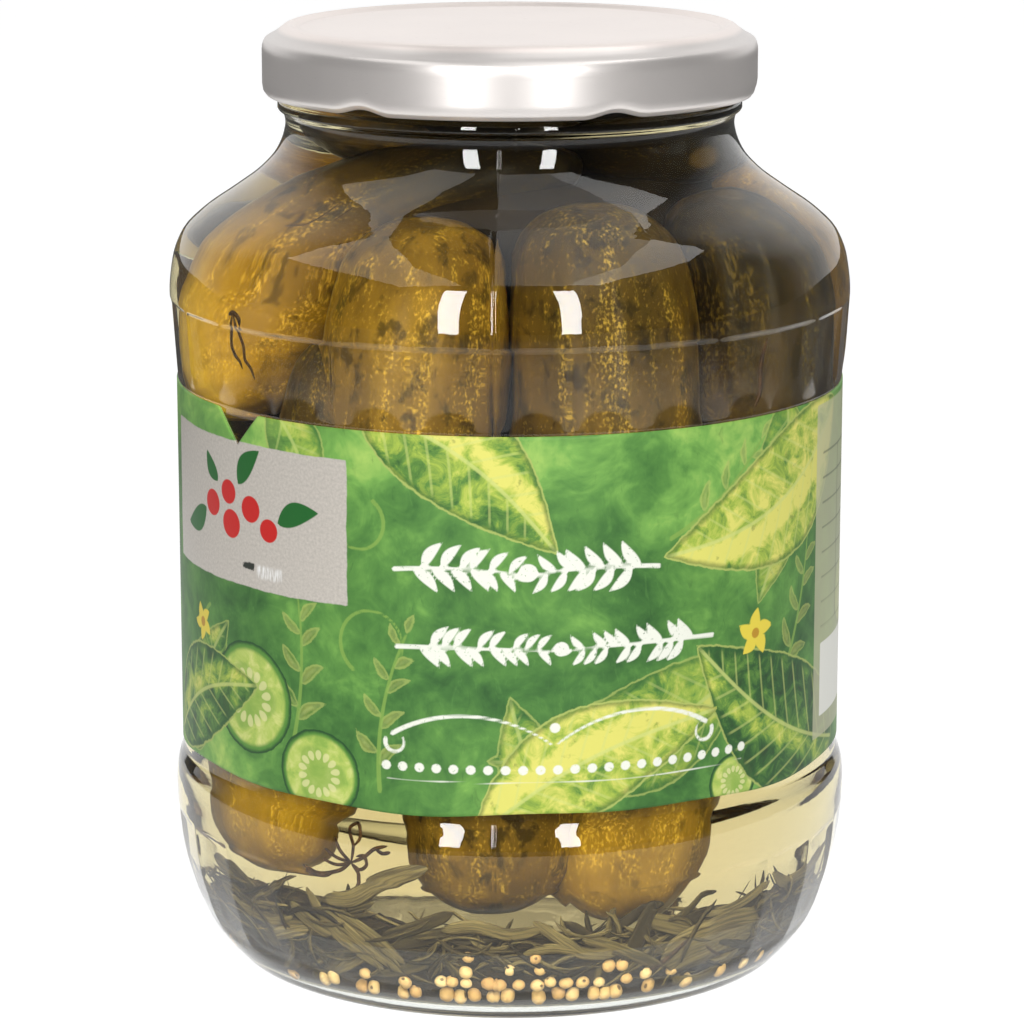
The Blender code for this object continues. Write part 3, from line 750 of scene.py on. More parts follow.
def makeLabelLook():
    # greens washed over paper, leaves and slices over them, then thin lines, white garlands and plain patches
    material, tree = newMaterial("printedPaper")
    where, depthOf = place(tree, "labelPlace"), lambda name: reading(tree, name + "Depth")
    height = partsOf(tree, where)[1]
    wash = noise(tree, where, 26.0, 5.0, 0.62, 0.3)
    level = stirred(tree, wash, noise(tree, where, 7.0, 5.0, 0.6, 1.2), 0.35)
    for low, high, *shares in ((78.0, 103.0, -0.03, 0.14), (39.0, 52.0, 0.08, 0.0)):
        level = calc(tree, "ADD", level, spread(tree, height, low, high, *shares))
    colour = ramp(tree, level, (0.30, (36, 76, 34)), (0.42, (56, 100, 44)), (0.53, (76, 122, 54)),
                  (0.64, (104, 150, 68)), (0.78, (150, 180, 88)))
    brush = noise(tree, place(tree, "labelPlace", (1, 0.35, 1)), 1.6, 5.0, 0.65, 0.8)
    colour = overlay(tree, colour, (brush, 0.55, 0.78, (92, 142, 68), 0.0, 0.3),
                     (brush, 0.25, 0.42, (18, 56, 28), 0.3, 0.0))
    leafGroup, sliceGroup = makeLeafGroup(), makeSliceGroup()
    for name, group, shown in (("backLeaf", leafGroup, 0.7), ("leaflet", leafGroup, 0.6),
                               ("slice", sliceGroup, 0.97), ("frontLeaf", leafGroup, 0.97)):
        field, tone = reading(tree, name, "Vector"), reading(tree, name + "Tone")
        inputs = {"Field": field, "Tone": tone, "Place": where}
        motif = addNode(tree, "ShaderNodeGroup", inputs, node_tree=group).outputs
        colour = mixColour(tree, calc(tree, "MULTIPLY", motif["Mask"], shown), colour, motif["Colour"])
        if name == "leaflet":
            colour = overlay(tree, colour, (depthOf("line"), -0.05, 0.2, (116, 148, 66), 0.0, 0.75))
    colour = overlay(tree, colour, (depthOf("petal"), 0.0, 0.3, (200, 182, 60)),
                     (depthOf("heart"), 0.0, 0.3, (164, 124, 30)))
    chalk = spread(tree, noise(tree, where, 0.7, 3.0, 0.6), 0.25, 0.42, 0.25, 1.0)
    white = calc(tree, "MULTIPLY", spread(tree, depthOf("white"), -0.05, 0.25), chalk)
    colour = mixColour(tree, white, colour, paint(206, 208, 196))
    tinted = overlay(tree, mixColour(tree, 0.72, colour, paint(168, 168, 138)),
                     (depthOf("ruled"), -0.05, 0.2, (52, 64, 46), 0.0, 0.6),
                     (depthOf("box"), -0.05, 0.15, (204, 204, 196)))
    colour = mixColour(tree, spread(tree, depthOf("panel"), -0.1, 0.15), colour, tinted)
    tear = noise(tree, where, 6.0, 4.0, 0.6)
    inPatch = spread(tree, ragged(tree, depthOf("patch"), 0.35, tear, 0.7), -0.1, 0.2)
    silver = ramp(tree, noise(tree, where, 0.5, 3.0, 0.6), (0.3, (172, 166, 158)), (0.7, (192, 186, 177)))
    # over the silver: printed berries and leaves, and a small dark fleck
    silver = overlay(tree, silver, (reading(tree, "berryLeaf"), -0.05, 0.2, (34, 96, 42)),
                     (depthOf("berry"), -0.05, 0.2, (186, 34, 30)),
                     (ragged(tree, depthOf("worn"), 0.9, tear, 1.6), 0.0, 0.3, (46, 50, 44)))
    # painted highlight: pale streaks over the silver patch stand for the glare off its crinkled foil
    scratches = spread(tree, noise(tree, place(tree, "labelPlace", (5.4, 0.4, 1)), 1.6, 2.0, 0.6), 0.4, 0.62)
    scratches = calc(tree, "MULTIPLY", scratches, spread(tree, depthOf("scratched"), 0.0, 0.9))
    colour = mixColour(tree, inPatch, colour, mixColour(tree, scratches, silver, paint(226, 226, 224)))
    radius = lengthOf(tree, place(tree, scale=(1, 1, 0)))
    inner = labelShape["inner"]
    colour = overlay(tree, colour, (radius, inner + 0.06, inner + 0.12, (206, 196, 160), 1.0, 0.0))
    crinkle = calc(tree, "MULTIPLY", noise(tree, where, 1.4, 3.0, 0.6, 1.6), inPatch)
    fibres = calc(tree, "MULTIPLY", noise(tree, place(tree), 0.35, 2.0), 0.12)
    finishMaterial(tree, {
        "Base Color": colour, "Roughness": calc(tree, "MULTIPLY_ADD", inPatch, -0.06, 0.46),
        "Metallic": calc(tree, "MULTIPLY", inPatch, 0.35), "Specular IOR Level": 0.25,
        "Normal": relief(tree, calc(tree, "MULTIPLY_ADD", crinkle, 0.3, fibres), 0.08, 0.6)})
    return material


labelGrid, labelParts = makeLabel()
paperLabel = joinSurfaces("paperLabel", labelGrid, makeLabelLook(), False, False, True, labelParts)
dress(paperLabel, "label_paper", "label")


# Pickles: each a blunt, slightly bowed cucumber with soft ribs and warts
# standing: azimuth, radius, height of both ends, diameter, bow, ripeness at both ends, 0 (dark) to 1 (yellow)
# lying: x, y, z of both ends, diameter, bow, ripeness at both ends, which in the neck also holds painted
# shade: values down to below 0 darken the pickles that the lid shades

pickleShape = {
    "lower": [
        ((-4, 40.6, 18.4), (-6, 39.0, 79.0), 28.6, 1.0, 0.5, 0.3),
        ((22, 39.8, 16.2), (43, 39.5, 80.0), 29.4, -1.0, 0.72, 0.36),
        ((-61, 40.2, 20.2), (-57, 39.5, 80.0), 28.4, 1.0, 0.78, 0.5),
        ((80, 38.5, 45.0), (78, 40.0, 98.0), 27.0, 1.0, 0.4, 0.3),
        ((122, 39.5, 36.0), (118, 40.0, 92.0), 28.0, 1.0, 0.5, 0.4),
        ((168, 40.4, 18.6), (163, 39.5, 80.0), 28.6, 1.0, 0.7, 0.4),
        ((211, 40.4, 21.4), (207, 39.5, 82.0), 28.0, 1.0, 0.4, 0.5),
        ((254, 39.5, 36.0), (252, 40.0, 94.0), 27.6, 1.0, 0.6, 0.4)],
    "upper": [
        ((-27, 40.4, 70.0), (-19, 38.2, 132.4), 29.2, 1.2, 0.5, 0.52),
        ((22, 40.2, 72.0), (21, 37.4, 135.9), 29.4, 1.2, 0.36, 0.3),
        ((70, 40.4, 74.0), (66, 38.4, 133.6), 29.4, 1.0, 0.22, 0.16),
        ((110, 40.2, 70.0), (105, 38.4, 132.0), 28.4, 1.0, 0.4, 0.6),
        ((152, 40.4, 68.0), (149, 38.0, 134.4), 29.0, 1.0, 0.2, 0.4),
        ((196, 40.2, 70.0), (193, 38.2, 132.6), 28.6, 1.0, 0.5, 0.7),
        ((240, 40.0, 62.0), (238, 39.0, 110.0), 28.0, 1.0, 0.4, 0.2),
        ((-36, 39.8, 64.0), (-35, 38.8, 117.0), 26.0, 1.0, 0.4, 0.25)],
    # painted shade: low and negative ripeness values darken these skins for the shade under the lid
    "neck": [
        ((-50.5, -9.0, 102.0), (8.0, -9.0, 145.0), 27.8, 1.0, 0.97, -0.25),
        ((29.0, -8.0, 140.0), (2.0, 27.0, 144.0), 26.0, 1.0, -0.3, -0.1),
        ((-25.0, -7.0, 149.5), (12.0, 22.0, 146.0), 25.0, 1.0, 0.16, 0.1),
        ((-18.0, 24.0, 131.0), (30.0, 22.0, 134.0), 26.0, 1.0, 0.5, 0.2)],
    "bluntness": 4.2,
    "rows": 84, "columns": 96,
    "uneven": [(2, 0.02, 2), (3, 0.012, -3)],  # times round, share of the radius, turn from end to end
    "swellings": 1.3, "swelling": 0.02,
    "ribs": 9, "ribHeight": 0.16, "ribWander": (0.8, 4),
    "warts": 34, "wartHeight": 0.35, "wartSize": 1.1, "wartsFrom": 0.06,
    "reliefMost": 0.45,
    "dimple": (0.9, 2.4),  # depth, radius
    "core": [(0.4, 40.0), (14, 40), (28.5, 46), (29, 70), (28.5, 100), (29, 124), (20, 134), (0.4, 134)],
    "coreRows": 30, "coreColumns": 48,
}


def pickleGrid(start, end, diameter, bow, number):
    # radius = diameter / 2 * sqrt(1 - |2t - 1| ^ bluntness), about a line bowed outwards by 4 t (1 - t).
    # Warts are bell curves of the distance over the skin, and ribs and unevenness sines of the angle round it
    shape = pickleShape
    rows, columns = shape["rows"], shape["columns"]
    pick = np.random.default_rng(100 + number)
    start, end = np.asarray(start, float), np.asarray(end, float)
    length = np.linalg.norm(end - start)
    axis = (end - start) / length
    middle = (start + end) / 2 * (1, 1, 0)
    out = middle / np.linalg.norm(middle)
    side = np.cross(axis, out)
    side /= np.linalg.norm(side)
    out = np.cross(side, axis)
    t = (1 - np.cos(np.pi * (np.arange(rows) + 0.5) / rows))[:, None] / 2
    turn = (2 * np.pi * np.arange(columns) / columns)[None]
    thick = diameter / 2 * np.sqrt(1 - np.abs(2 * t - 1) ** shape["bluntness"])
    phase = pick.uniform(0, 2 * np.pi, 6)
    uneven = 1
    for (times, part, winding), begins in zip(shape["uneven"], phase):
        uneven = uneven + part * np.sin(times * turn + begins + winding * t)
    uneven = uneven + shape["swelling"] * np.sin(2 * np.pi * t * shape["swellings"] + phase[2])
    wander, pace = shape["ribWander"]
    ribs = shape["ribHeight"] * np.sin(shape["ribs"] * turn + phase[3] + wander * np.sin(pace * t + phase[4]))
    wartTurn = pick.uniform(0, 2 * np.pi, shape["warts"])
    wartAt = pick.uniform(shape["wartsFrom"], 1 - shape["wartsFrom"], shape["warts"])
    size = shape["wartSize"] * pick.uniform(0.6, 1.3, shape["warts"])
    across = (np.cos(turn[..., None] - wartTurn) - 1) * -2 * (diameter / 2) ** 2
    lengthways = ((t[..., None] - wartAt) * length) ** 2
    warts = (shape["wartHeight"] * np.exp(-(across + lengthways) / size ** 2)).sum(-1)
    fade = np.minimum(1, thick / (diameter * 0.3))
    radius = thick * (1 + (uneven - 1) * fade) + (ribs + warts) * fade
    radius = np.minimum(radius, thick + shape["reliefMost"])
    spine = start + (end - start) * t[..., None] + out * bow * 4 * (t * (1 - t))[..., None]
    deep, wide = shape["dimple"]
    dimple = deep * np.exp(-(thick / wide) ** 2) * np.where(t > 0.5, -1, 1)
    around = out * np.cos(turn)[..., None] + side * np.sin(turn)[..., None]
    grid = spine + around * radius[..., None] + axis * (dimple + 0 * turn)[..., None]
    along = t * length + 137.0 * number  # each cucumber has its own stretch of the patterns
    skin = np.stack(np.broadcast_arrays(radius * np.cos(turn), radius * np.sin(turn), along), -1)
    tipDistance = np.minimum(t, 1 - t) * length + 0.25 * thick
    return grid, skin, tipDistance + 0 * turn, t + 0 * turn


def makePickles(name, group, firstNumber, material):
    found = []
    for offset, (start, end, diameter, bow, ripeLow, ripeHigh) in enumerate(group):
        if name != "picklesNeck":  # the standing ones are placed round the wall
            start, end = (ringPoint(r, a, z) for a, r, z in (start, end))
        grid, skin, tip, along = pickleGrid(start, end, diameter, bow, firstNumber + offset)
        found.append((grid, skin, tip, ripeLow + (ripeHigh - ripeLow) * along))
    grids, skins, tips, ripeness = (np.array(part) for part in zip(*found))
    layers = {"skinPlace": skins, "ripeness": ripeness, "tipDistance": tips}
    return joinSurfaces(name, grids, material, layers=layers)


def makeSkinLook():
    # pickled skin: brown-olive to mustard, fine freckles in long bands, dark mottles on the greener ones. Its
    # tone also carries painted shade: the neck pickles' low values darken them for the lid's shade
    material, tree = newMaterial("pickledSkin")
    ripe = reading(tree, "ripeness")
    on = lambda stretch, *words: noise(tree, place(tree, "skinPlace", (1, 1, stretch)), *words)
    tone = stirred(tree, ripe, on(0.35, 13.0, 5.0, 0.6), 0.7, clamp=True)
    colour = ramp(tree, tone, (0.0, (20, 15, 6)), (0.15, (36, 27, 9)), (0.3, (60, 44, 12)),
                  (0.5, (88, 64, 16)), (0.75, (138, 104, 26)), (1.0, (192, 152, 40)))
    bands, freckles = on(0.06, 3.6, 2.0, 0.6, 0.3), on(0.75, 0.54, 2.0, 0.6)
    bright = calc(tree, "MULTIPLY", spread(tree, bands, 0.46, 0.64), spread(tree, freckles, 0.44, 0.68))
    bright = calc(tree, "MULTIPLY", bright, spread(tree, ripe, 0.05, 0.45, 0.1, 1.0))
    colour = mixColour(tree, bright, colour, paint(114, 92, 26), "ADD")
    scattered = spread(tree, ripe, 0.15, 0.4, 0.15, 0.7)
    scattered = calc(tree, "MULTIPLY", spread(tree, freckles, 0.60, 0.68), scattered)
    colour = mixColour(tree, scattered, colour, paint(96, 74, 22), "ADD")
    spots = spread(tree, on(0.8, 3.6, 3.0, 0.6, 0.3), 0.52, 0.66)
    spots = calc(tree, "MULTIPLY", spots, spread(tree, ripe, 0.4, 0.9, 0.75, 0.1))
    colour = mixColour(tree, spots, colour, paint(24, 18, 6))
    colour = overlay(tree, colour, (reading(tree, "tipDistance"), 0.6, 1.4, (92, 72, 36), 0.4, 0.0))
    return finishWet(material, tree, colour, 0.3, {
        "Normal": relief(tree, on(1, 0.9, 3.0, 0.6), 0.12, 0.2), "Subsurface Weight": 0.12,
        "Subsurface Radius": (0.9, 0.55, 0.2), "Subsurface Scale": 0.002})


skinLook = makeSkinLook()
firstNumber = 0
for groupName, pieceName in (("lower", "picklesLower"), ("upper", "picklesUpper"), ("neck", "picklesNeck")):
    pickles = makePickles(pieceName, pickleShape[groupName], firstNumber, skinLook)
    dress(pickles, "pickle_skin", "pickles")
    firstNumber += len(pickleShape[groupName])
# the core that fills the middle among the pickles is near black: painted shade for the gaps deep in the jar
coreOutline = alongOutline(pickleShape["core"], pickleShape["coreRows"])
coreGrid = turnedRound(coreOutline, roundColumns(pickleShape["coreColumns"]))
coreLook = makePlainLook("paintedShadeBetween", 9.0, (16, 12, 5), (34, 25, 9), 0.8)
dress(joinSurfaces("pickleCore", coreGrid, coreLook), "pickle_skin", "pickles")


# Bed on the floor of the jar: a crescent of dill banked up against the front wall

bedShape = {
    "spread": 118.0, "halfWidth": 125.0, "steepness": 1.6, "least": 0.12,
    "height": 16.4, "foot": 5.6, "crestDrop": 0.6, "wallGap": 2.2, "crestWidth": 2.4,
    "rises": [(76, 36, 4.0), (-50, 34, 4.4)], "waves": [(7, 0.0), (11, 1.0)], "waveHeight": 0.4,
    "under": [(37.0, 3.7), (44.4, 3.5)], "toe": (37.3, 5.2), "back": (1.0, 0.6, 0.2, 0.0),
    "heart": (42.0, 4.4),
    "sections": 220, "sectionPoints": 64,
    "roughness": [(4.0, 0.35), (1.8, 0.2)], "smoothUnder": (4.2, 6.2),
}


def wallRadius(height):
    # the inner wall's radius at this height, from the floor to the neck
    outline = np.array(glassShape["inside"][:glassShape["wall"]])[::-1]
    return cubicThrough(outline[:, 1], outline[:, 0], height)


def bankSections(azimuth):
    # the bank's outline across it at each azimuth: underside, side by the wall, crest and back slope.
    # Towards both ends it shrinks to its heart: heart + (point - heart) * share
    share = smoothStep(0, 1, bedShape["steepness"] * (1 - np.abs(azimuth) / bedShape["halfWidth"]))
    share = bedShape["least"] + (1 - bedShape["least"]) * share
    rise = sum(high * np.exp(-((azimuth - middle) / wide) ** 2) for middle, wide, high in bedShape["rises"])
    waves = sum(np.sin(times * np.radians(azimuth) + phase) for times, phase in bedShape["waves"])
    crest = bedShape["height"] + rise + bedShape["waveHeight"] * waves
    level = [0 * crest + bedShape["foot"], (bedShape["foot"] + crest) / 2, crest - bedShape["crestDrop"]]
    outline = [(radius + 0 * crest, height + 0 * crest) for radius, height in bedShape["under"]]
    outline += [(wallRadius(height) - bedShape["wallGap"], height) for height in level]
    crestRadius = wallRadius(crest) - bedShape["wallGap"] - bedShape["crestWidth"]
    toeRadius, toe = bedShape["toe"]
    outline += [(toeRadius + (crestRadius - toeRadius) * part, toe + (crest - toe) * smoothStep(0, 1, part))
                for part in bedShape["back"]]
    heart = np.array(bedShape["heart"])[:, None]
    return heart + (np.array(outline) - heart) * share, share


def makeBed():
    # the sections round the jar, each drawn through its points, then roughened outwards and upwards
    azimuths = np.linspace(-bedShape["spread"], bedShape["spread"], bedShape["sections"])
    outline, _ = bankSections(azimuths)
    outline = np.concatenate([outline, outline[:1]])
    at = np.linspace(0, len(outline) - 1, bedShape["sectionPoints"], endpoint=False)
    first = at.astype(int)
    part = (at - first)[:, None, None]
    section = outline[first] * (1 - part) + outline[first + 1] * part
    grid = ringPoint(section[:, 0], azimuths, section[:, 1]).transpose(1, 0, 2)
    rough = sum(sharedNoise(grid, size, 5 + i) * deep for i, (size, deep) in enumerate(bedShape["roughness"]))
    outward = grid * (1, 1, 0) / np.linalg.norm(grid[..., :2], axis=-1, keepdims=True)
    rough *= smoothStep(*bedShape["smoothUnder"], grid[..., 2])
    return grid + (outward * 0.6 + (0, 0, 0.8)) * rough[..., None]


def makeBedLook():
    # dark matted leaves with paler fibres lying in them
    material, tree = newMaterial("mattedDill")
    cloud = noise(tree, place(tree), 5.0, 5.0, 0.65)
    fibre = noise(tree, place(tree, scale=(1, 1, 3.5)), 1.3, 4.0, 0.6, 1.2)
    colour = ramp(tree, cloud, (0.3, (26, 20, 10)), (0.5, (46, 36, 18)), (0.72, (76, 60, 32)))
    colour = overlay(tree, colour, (fibre, 0.55, 0.7, (90, 72, 40), 0.0, 0.6))
    return finishWet(material, tree, colour, 0.7, {"Normal": relief(tree, fibre, 0.5)})


dress(joinSurfaces("dillBed", makeBed(), makeBedLook()), "dill_and_seeds", "dill_bed")


# Strands of dill that lie along the wall. Widths, lengths and depths are in mm, places are (azimuth, height).

strandShape = {
    "fine": {"count": 560, "seed": 8, "width": (0.35, 1.1), "thick": 0.24, "length": (5, 15),
             "depth": (0.35, 3.4), "lean": 34, "curl": 60, "twist": 40, "rows": 8, "columns": 4},
    "broad": {"count": 128, "seed": 21, "width": (1.5, 3.4), "thick": 0.35, "length": (9, 20),
              "depth": (0.7, 3.2), "lean": 26, "curl": 26, "twist": 24, "rows": 16, "columns": 8},
    "floor": 5.9, "lowest": 5.8,  # where strands start and how low they may bend
    "twigRows": 30, "twigColumns": 8,
    "seedClear": (34.0, 8.0, 11.8, 2.4),  # the seeds' patch: half width, heights it fades between, added depth
    "shownIn": (1.0, 0.4, 8.0, 0.86),  # depth, thickness, twist and tone of the strands that stand out
    "shown": [  # their width, then places along them
        (3.3, [(-34.0, 21.0), (-29.0, 21.8), (-22.0, 26.0), (-14.0, 29.0)]),
        (2.3, [(-37.5, 22.5), (-33.5, 16.5), (-28.5, 12.5), (-23.5, 9.6)]),
        (2.2, [(-34.5, 19.5), (-29.0, 15.5), (-24.5, 12.2), (-20.0, 9.4)]),
        (1.9, [(-31.5, 19.2), (-27.0, 17.2), (-22.5, 14.4), (-19.0, 11.0)]),
        (2.6, [(-12.0, 18.0), (-6.0, 19.0), (0.0, 17.6), (6.0, 18.6)]),
        (2.2, [(4.0, 20.0), (9.0, 16.4), (13.0, 13.6), (19.0, 12.6)]),
        (2.0, [(2.0, 14.0), (8.0, 15.0), (15.0, 13.6), (22.0, 14.6)]),
        (8.6, [(28.5, 10.4), (35.0, 12.2), (43.0, 13.4), (51.0, 12.6)]),
        (2.4, [(52.0, 22.0), (58.0, 19.0), (66.0, 19.6), (74.0, 22.0)]),
        (2.2, [(-62.0, 18.0), (-56.0, 15.0), (-48.0, 14.6), (-42.0, 16.4)])],
    "twigs": [  # dark thin stems: width, depth from the wall, places along them
        (1.3, 1.2, [(34.2, 14.6), (31.6, 12.4), (28.6, 10.2), (26.4, 9.2)]),
        (0.7, 1.0, [(34.2, 14.6), (36.4, 15.6), (38.6, 15.2)]),
        (0.5, 0.9, [(37.4, 12.0), (39.4, 10.6), (42.4, 9.0)]),
        (0.62, 1.6, [(-28.0, 28.4), (-30.6, 28.8), (-33.2, 30.0)]),
        (0.62, 1.6, [(-28.0, 28.4), (-31.0, 27.6), (-33.8, 28.2)]),
        (0.62, 1.5, [(-28.0, 28.4), (-30.2, 30.2), (-31.4, 32.0)]),
        (0.62, 1.5, [
            (-28.0, 28.4), (-27.6, 31.0), (-28.6, 33.4), (-27.2, 34.4), (-26.4, 32.6), (-27.6, 31.0)]),
        (0.62, 1.4, [(-28.0, 28.4), (-25.6, 29.6), (-23.4, 31.2), (-21.2, 31.8)]),
        (0.6, 1.4, [(-23.4, 31.2), (-22.0, 30.6), (-20.6, 30.9)]),
        (0.62, 1.4, [(-28.0, 28.4), (-26.4, 27.4), (-25.0, 28.6), (-25.6, 29.9), (-27.0, 29.6)]),
        (0.7, 1.5, [(-28.0, 28.4), (-30.6, 26.6), (-34.6, 25.6), (-38.0, 26.4)]),
        (0.7, 1.4, [(-28.0, 28.4), (-26.6, 26.4), (-27.2, 24.2), (-29.0, 22.0)]),
        (0.62, 0.6, [
            (-53.2, 119.2), (-53.9, 116.6), (-54.3, 114.0), (-53.6, 112.4), (-52.4, 111.4), (-51.8, 110.2)]),
        (0.62, 0.6, [
            (-53.0, 119.2), (-51.8, 116.4), (-50.8, 113.8), (-50.9, 112.2), (-49.4, 110.6), (-48.6, 108.8)]),
        (0.8, 0.6, [(-54.3, 119.0), (-53.1, 119.4), (-51.3, 118.4), (-51.2, 117.6)]),
        (0.34, 0.5, [(-40.3, 137.0), (-42.4, 134.6), (-44.6, 133.2), (-49.4, 132.6)]),
        (0.3, 0.5, [(-36.4, 136.2), (-37.4, 135.2), (-38.5, 134.2)]),
        (0.8, 0.8, [(48.4, 116.0), (47.4, 111.6), (47.9, 107.0), (46.6, 104.2)])],
}


def strandsAlong(azimuth, height, depth, width, thick, twist, columns):
    # strips whose paths run over the wall at their depth. Each is an ellipse of width x thick across,
    # turned by the twist from lying flat on the wall, and drawn in at both ends
    rows = azimuth.shape[1]
    t = np.linspace(-0.5, 0.5, rows)
    column = lambda value: np.broadcast_to(value, len(azimuth)).astype(float)[:, None]
    path = ringPoint(wallRadius(height) - column(depth), azimuth, height)
    ahead = np.gradient(path, axis=1)
    ahead /= np.linalg.norm(ahead, axis=-1, keepdims=True)
    slope = (wallRadius(height + 0.5) - wallRadius(height - 0.5))
    outward = ringPoint(1.0, azimuth, -slope)
    across = np.cross(outward, ahead)
    across /= np.linalg.norm(across, axis=-1, keepdims=True)
    face = np.cross(ahead, across)
    roll = np.radians(column(twist) * (0.4 + t))[..., None]
    across, face = across * np.cos(roll) + face * np.sin(roll), face * np.cos(roll) - across * np.sin(roll)
    turns = 2 * np.pi * np.arange(columns) / columns
    taper = (1 - np.abs(2 * t) ** 6 * 0.8)[None, :, None]
    wide = column(width)[..., None] / 2 * taper * np.cos(turns)
    deep = column(thick)[..., None] / 2 * taper * np.sin(turns)
    grid = path[:, :, None] + across[:, :, None] * wide[..., None] + face[:, :, None] * deep[..., None]
    length = np.linalg.norm(np.diff(path, axis=1), axis=-1).sum(1)
    lengthways = np.broadcast_to(t[None, :, None] * length[:, None, None], wide.shape)
    tone = np.broadcast_to((np.arange(len(path)) * 0.618 % 1)[:, None, None], wide.shape)
    return grid, {"strand": np.stack([wide, lengthways, tone], -1)}


def scatterStrands(words):
    # strands strewn over the bank's face, thickest at the front: each winds from its middle at a heading
    pick = np.random.default_rng(words["seed"])
    count, floor = words["count"], strandShape["floor"]
    azimuth = bedShape["spread"] * pick.uniform(-1, 1, count)
    outline, share = bankSections(azimuth)
    top = outline[5, 1] + 1.2 * share
    height = floor + pick.uniform(0, 1, count) ** 0.8 * np.maximum(top - floor, 0.3)
    halfWidth, low, high, extra = strandShape["seedClear"]
    depth = pick.uniform(*words["depth"], count)
    depth = depth + extra * np.exp(-(azimuth / halfWidth) ** 2) * (1 - smoothStep(low, high, height))
    length, width = pick.uniform(*words["length"], count), pick.uniform(*words["width"], count)
    t = np.linspace(-0.5, 0.5, words["rows"])
    heading = np.radians((pick.normal(0, words["lean"], count) * share)[:, None]
                         + pick.normal(0, words["curl"], count)[:, None] * t * share[:, None])
    step = length[:, None] / (words["rows"] - 1)
    level, climb = np.cumsum(np.cos(heading), axis=1) * step, np.cumsum(np.sin(heading), axis=1) * step
    heights = height[:, None] + climb - climb.mean(axis=1, keepdims=True)
    heights = np.clip(heights, strandShape["lowest"], top[:, None] + 3.0)
    turn = np.degrees((level - level.mean(axis=1, keepdims=True)) / (wallRadius(heights) - depth[:, None]))
    twist = pick.normal(0, words["twist"], count)
    azimuths = azimuth[:, None] + turn
    return strandsAlong(azimuths, heights, depth, width, words["thick"], twist, words["columns"])


def placedStrands(places, rows):
    # smooth paths through the named places, all with the same number of rows
    scale = (0.95, 1.0)  # mm for a degree round the wall, so that distance along the path is even
    paths = np.stack([alongOutline(np.array(points) * scale, rows) / scale for points in places])
    return paths[..., 0], paths[..., 1]


def makeStrandLook():
    # strips of stem: parallel dark and light lines along each, and a tone of their own
    material, tree = newMaterial("dillStrips")
    tone = partsOf(tree, reading(tree, "strand", "Vector"))[2]
    lines = noise(tree, place(tree, "strand", (1, 0.04, 7)), 0.3, 2.0, 0.5)
    colour = ramp(tree, tone, (0.0, (40, 33, 17)), (0.5, (76, 64, 34)), (1.0, (118, 102, 60)))
    colour = overlay(tree, colour, (lines, 0.42, 0.58, (32, 24, 11), 0.7, 0.0))
    return finishWet(material, tree, colour, 0.5)


strandLook = makeStrandLook()
fineGrid, fineLayers = scatterStrands(strandShape["fine"])
dress(joinSurfaces("dillFine", fineGrid, strandLook, layers=fineLayers), "dill_and_seeds", "dill_bed")
broadGrid, broadLayers = scatterStrands(strandShape["broad"])
shownPlaces = placedStrands([points for _, points in strandShape["shown"]], strandShape["broad"]["rows"])
shownWidth = np.array([width for width, _ in strandShape["shown"]])
depth, thick, twist, tone = strandShape["shownIn"]
shownGrid, shownLayers = strandsAlong(
    *shownPlaces, depth, shownWidth, thick, twist, strandShape["broad"]["columns"])
shownLayers["strand"][..., 2] = tone
allBroad = np.concatenate([broadGrid, shownGrid])
allStrands = {"strand": np.concatenate([broadLayers["strand"], shownLayers["strand"]])}
dress(joinSurfaces("dillBroad", allBroad, strandLook, layers=allStrands), "dill_and_seeds", "dill_bed")
twigWidth, twigDepth = np.array([words[:2] for words in strandShape["twigs"]]).T
twigPlaces = placedStrands([places for _, _, places in strandShape["twigs"]], strandShape["twigRows"])
twigGrid, _ = strandsAlong(*twigPlaces, twigDepth, twigWidth, twigWidth, 0.0, strandShape["twigColumns"])
twigLook = makePlainLook("darkTwig", 1.2, (30, 18, 8), (66, 44, 20), 0.5)
dress(joinSurfaces("dillTwigs", twigGrid, twigLook), "dill_and_seeds", "dill_bed")


seedShape = {
    "radius": 1.2, "rows": 7, "columns": 12, "spacing": 3.0, "spread": 96, "levels": 5.7 + 2.4 * np.arange(5),
    "share": [0.8, 0.74, 0.56, 0.34, 0.12], "middle": 1.0, "halfWidth": [64, 32, 20, 16, 12], "gap": 0.14,
    "astray": (0.45, 0.3),  # degrees round and mm up
}


def makeSeeds():
    # rows of seeds against the wall, thinned by chance upwards and away from the front: share * exp(-away ^ 2)
    shape = seedShape
    pick = np.random.default_rng(3)
    line = np.arange(-shape["spread"], shape["spread"], shape["spacing"])
    rows = range(len(shape["levels"]))
    azimuth = np.concatenate([line + shape["spacing"] / 2 * (i % 2) for i in rows])
    row = np.repeat(rows, len(line))
    height = shape["levels"][row]
    away = (azimuth - shape["middle"]) / np.array(shape["halfWidth"])[row]
    keep = pick.uniform(0, 1, len(azimuth)) < np.array(shape["share"])[row] * np.exp(-away ** 2)
    azimuth, height = (value[keep] + pick.normal(0, astray, keep.sum())
                       for value, astray in zip((azimuth, height), shape["astray"]))
    count = len(azimuth)
    size = shape["radius"] * pick.uniform(0.86, 1.08, count)
    radius = wallRadius(height) - size - shape["gap"] - pick.uniform(0, 0.5, count)
    centre = ringPoint(radius, azimuth, height)
    down = np.pi * (np.arange(shape["rows"])[:, None] + 0.5) / shape["rows"]
    across = 2 * np.pi * np.arange(shape["columns"]) / shape["columns"]
    ball = np.broadcast_arrays(np.sin(down) * np.cos(across), np.sin(down) * np.sin(across), np.cos(down))
    ball = np.stack(ball, -1)
    turnTo = np.linalg.qr(pick.normal(size=(count, 3, 3)))[0]
    turnTo *= np.sign(np.linalg.det(turnTo))[:, None, None]
    grid = centre[:, None, None] + np.einsum("nij,rcj->nrci", turnTo, ball) * size[:, None, None, None]
    tone = np.broadcast_to(pick.uniform(0, 1, count)[:, None, None], grid.shape[:3])
    return grid, {"seedPlace": np.broadcast_to(ball, grid.shape), "seedTone": tone}


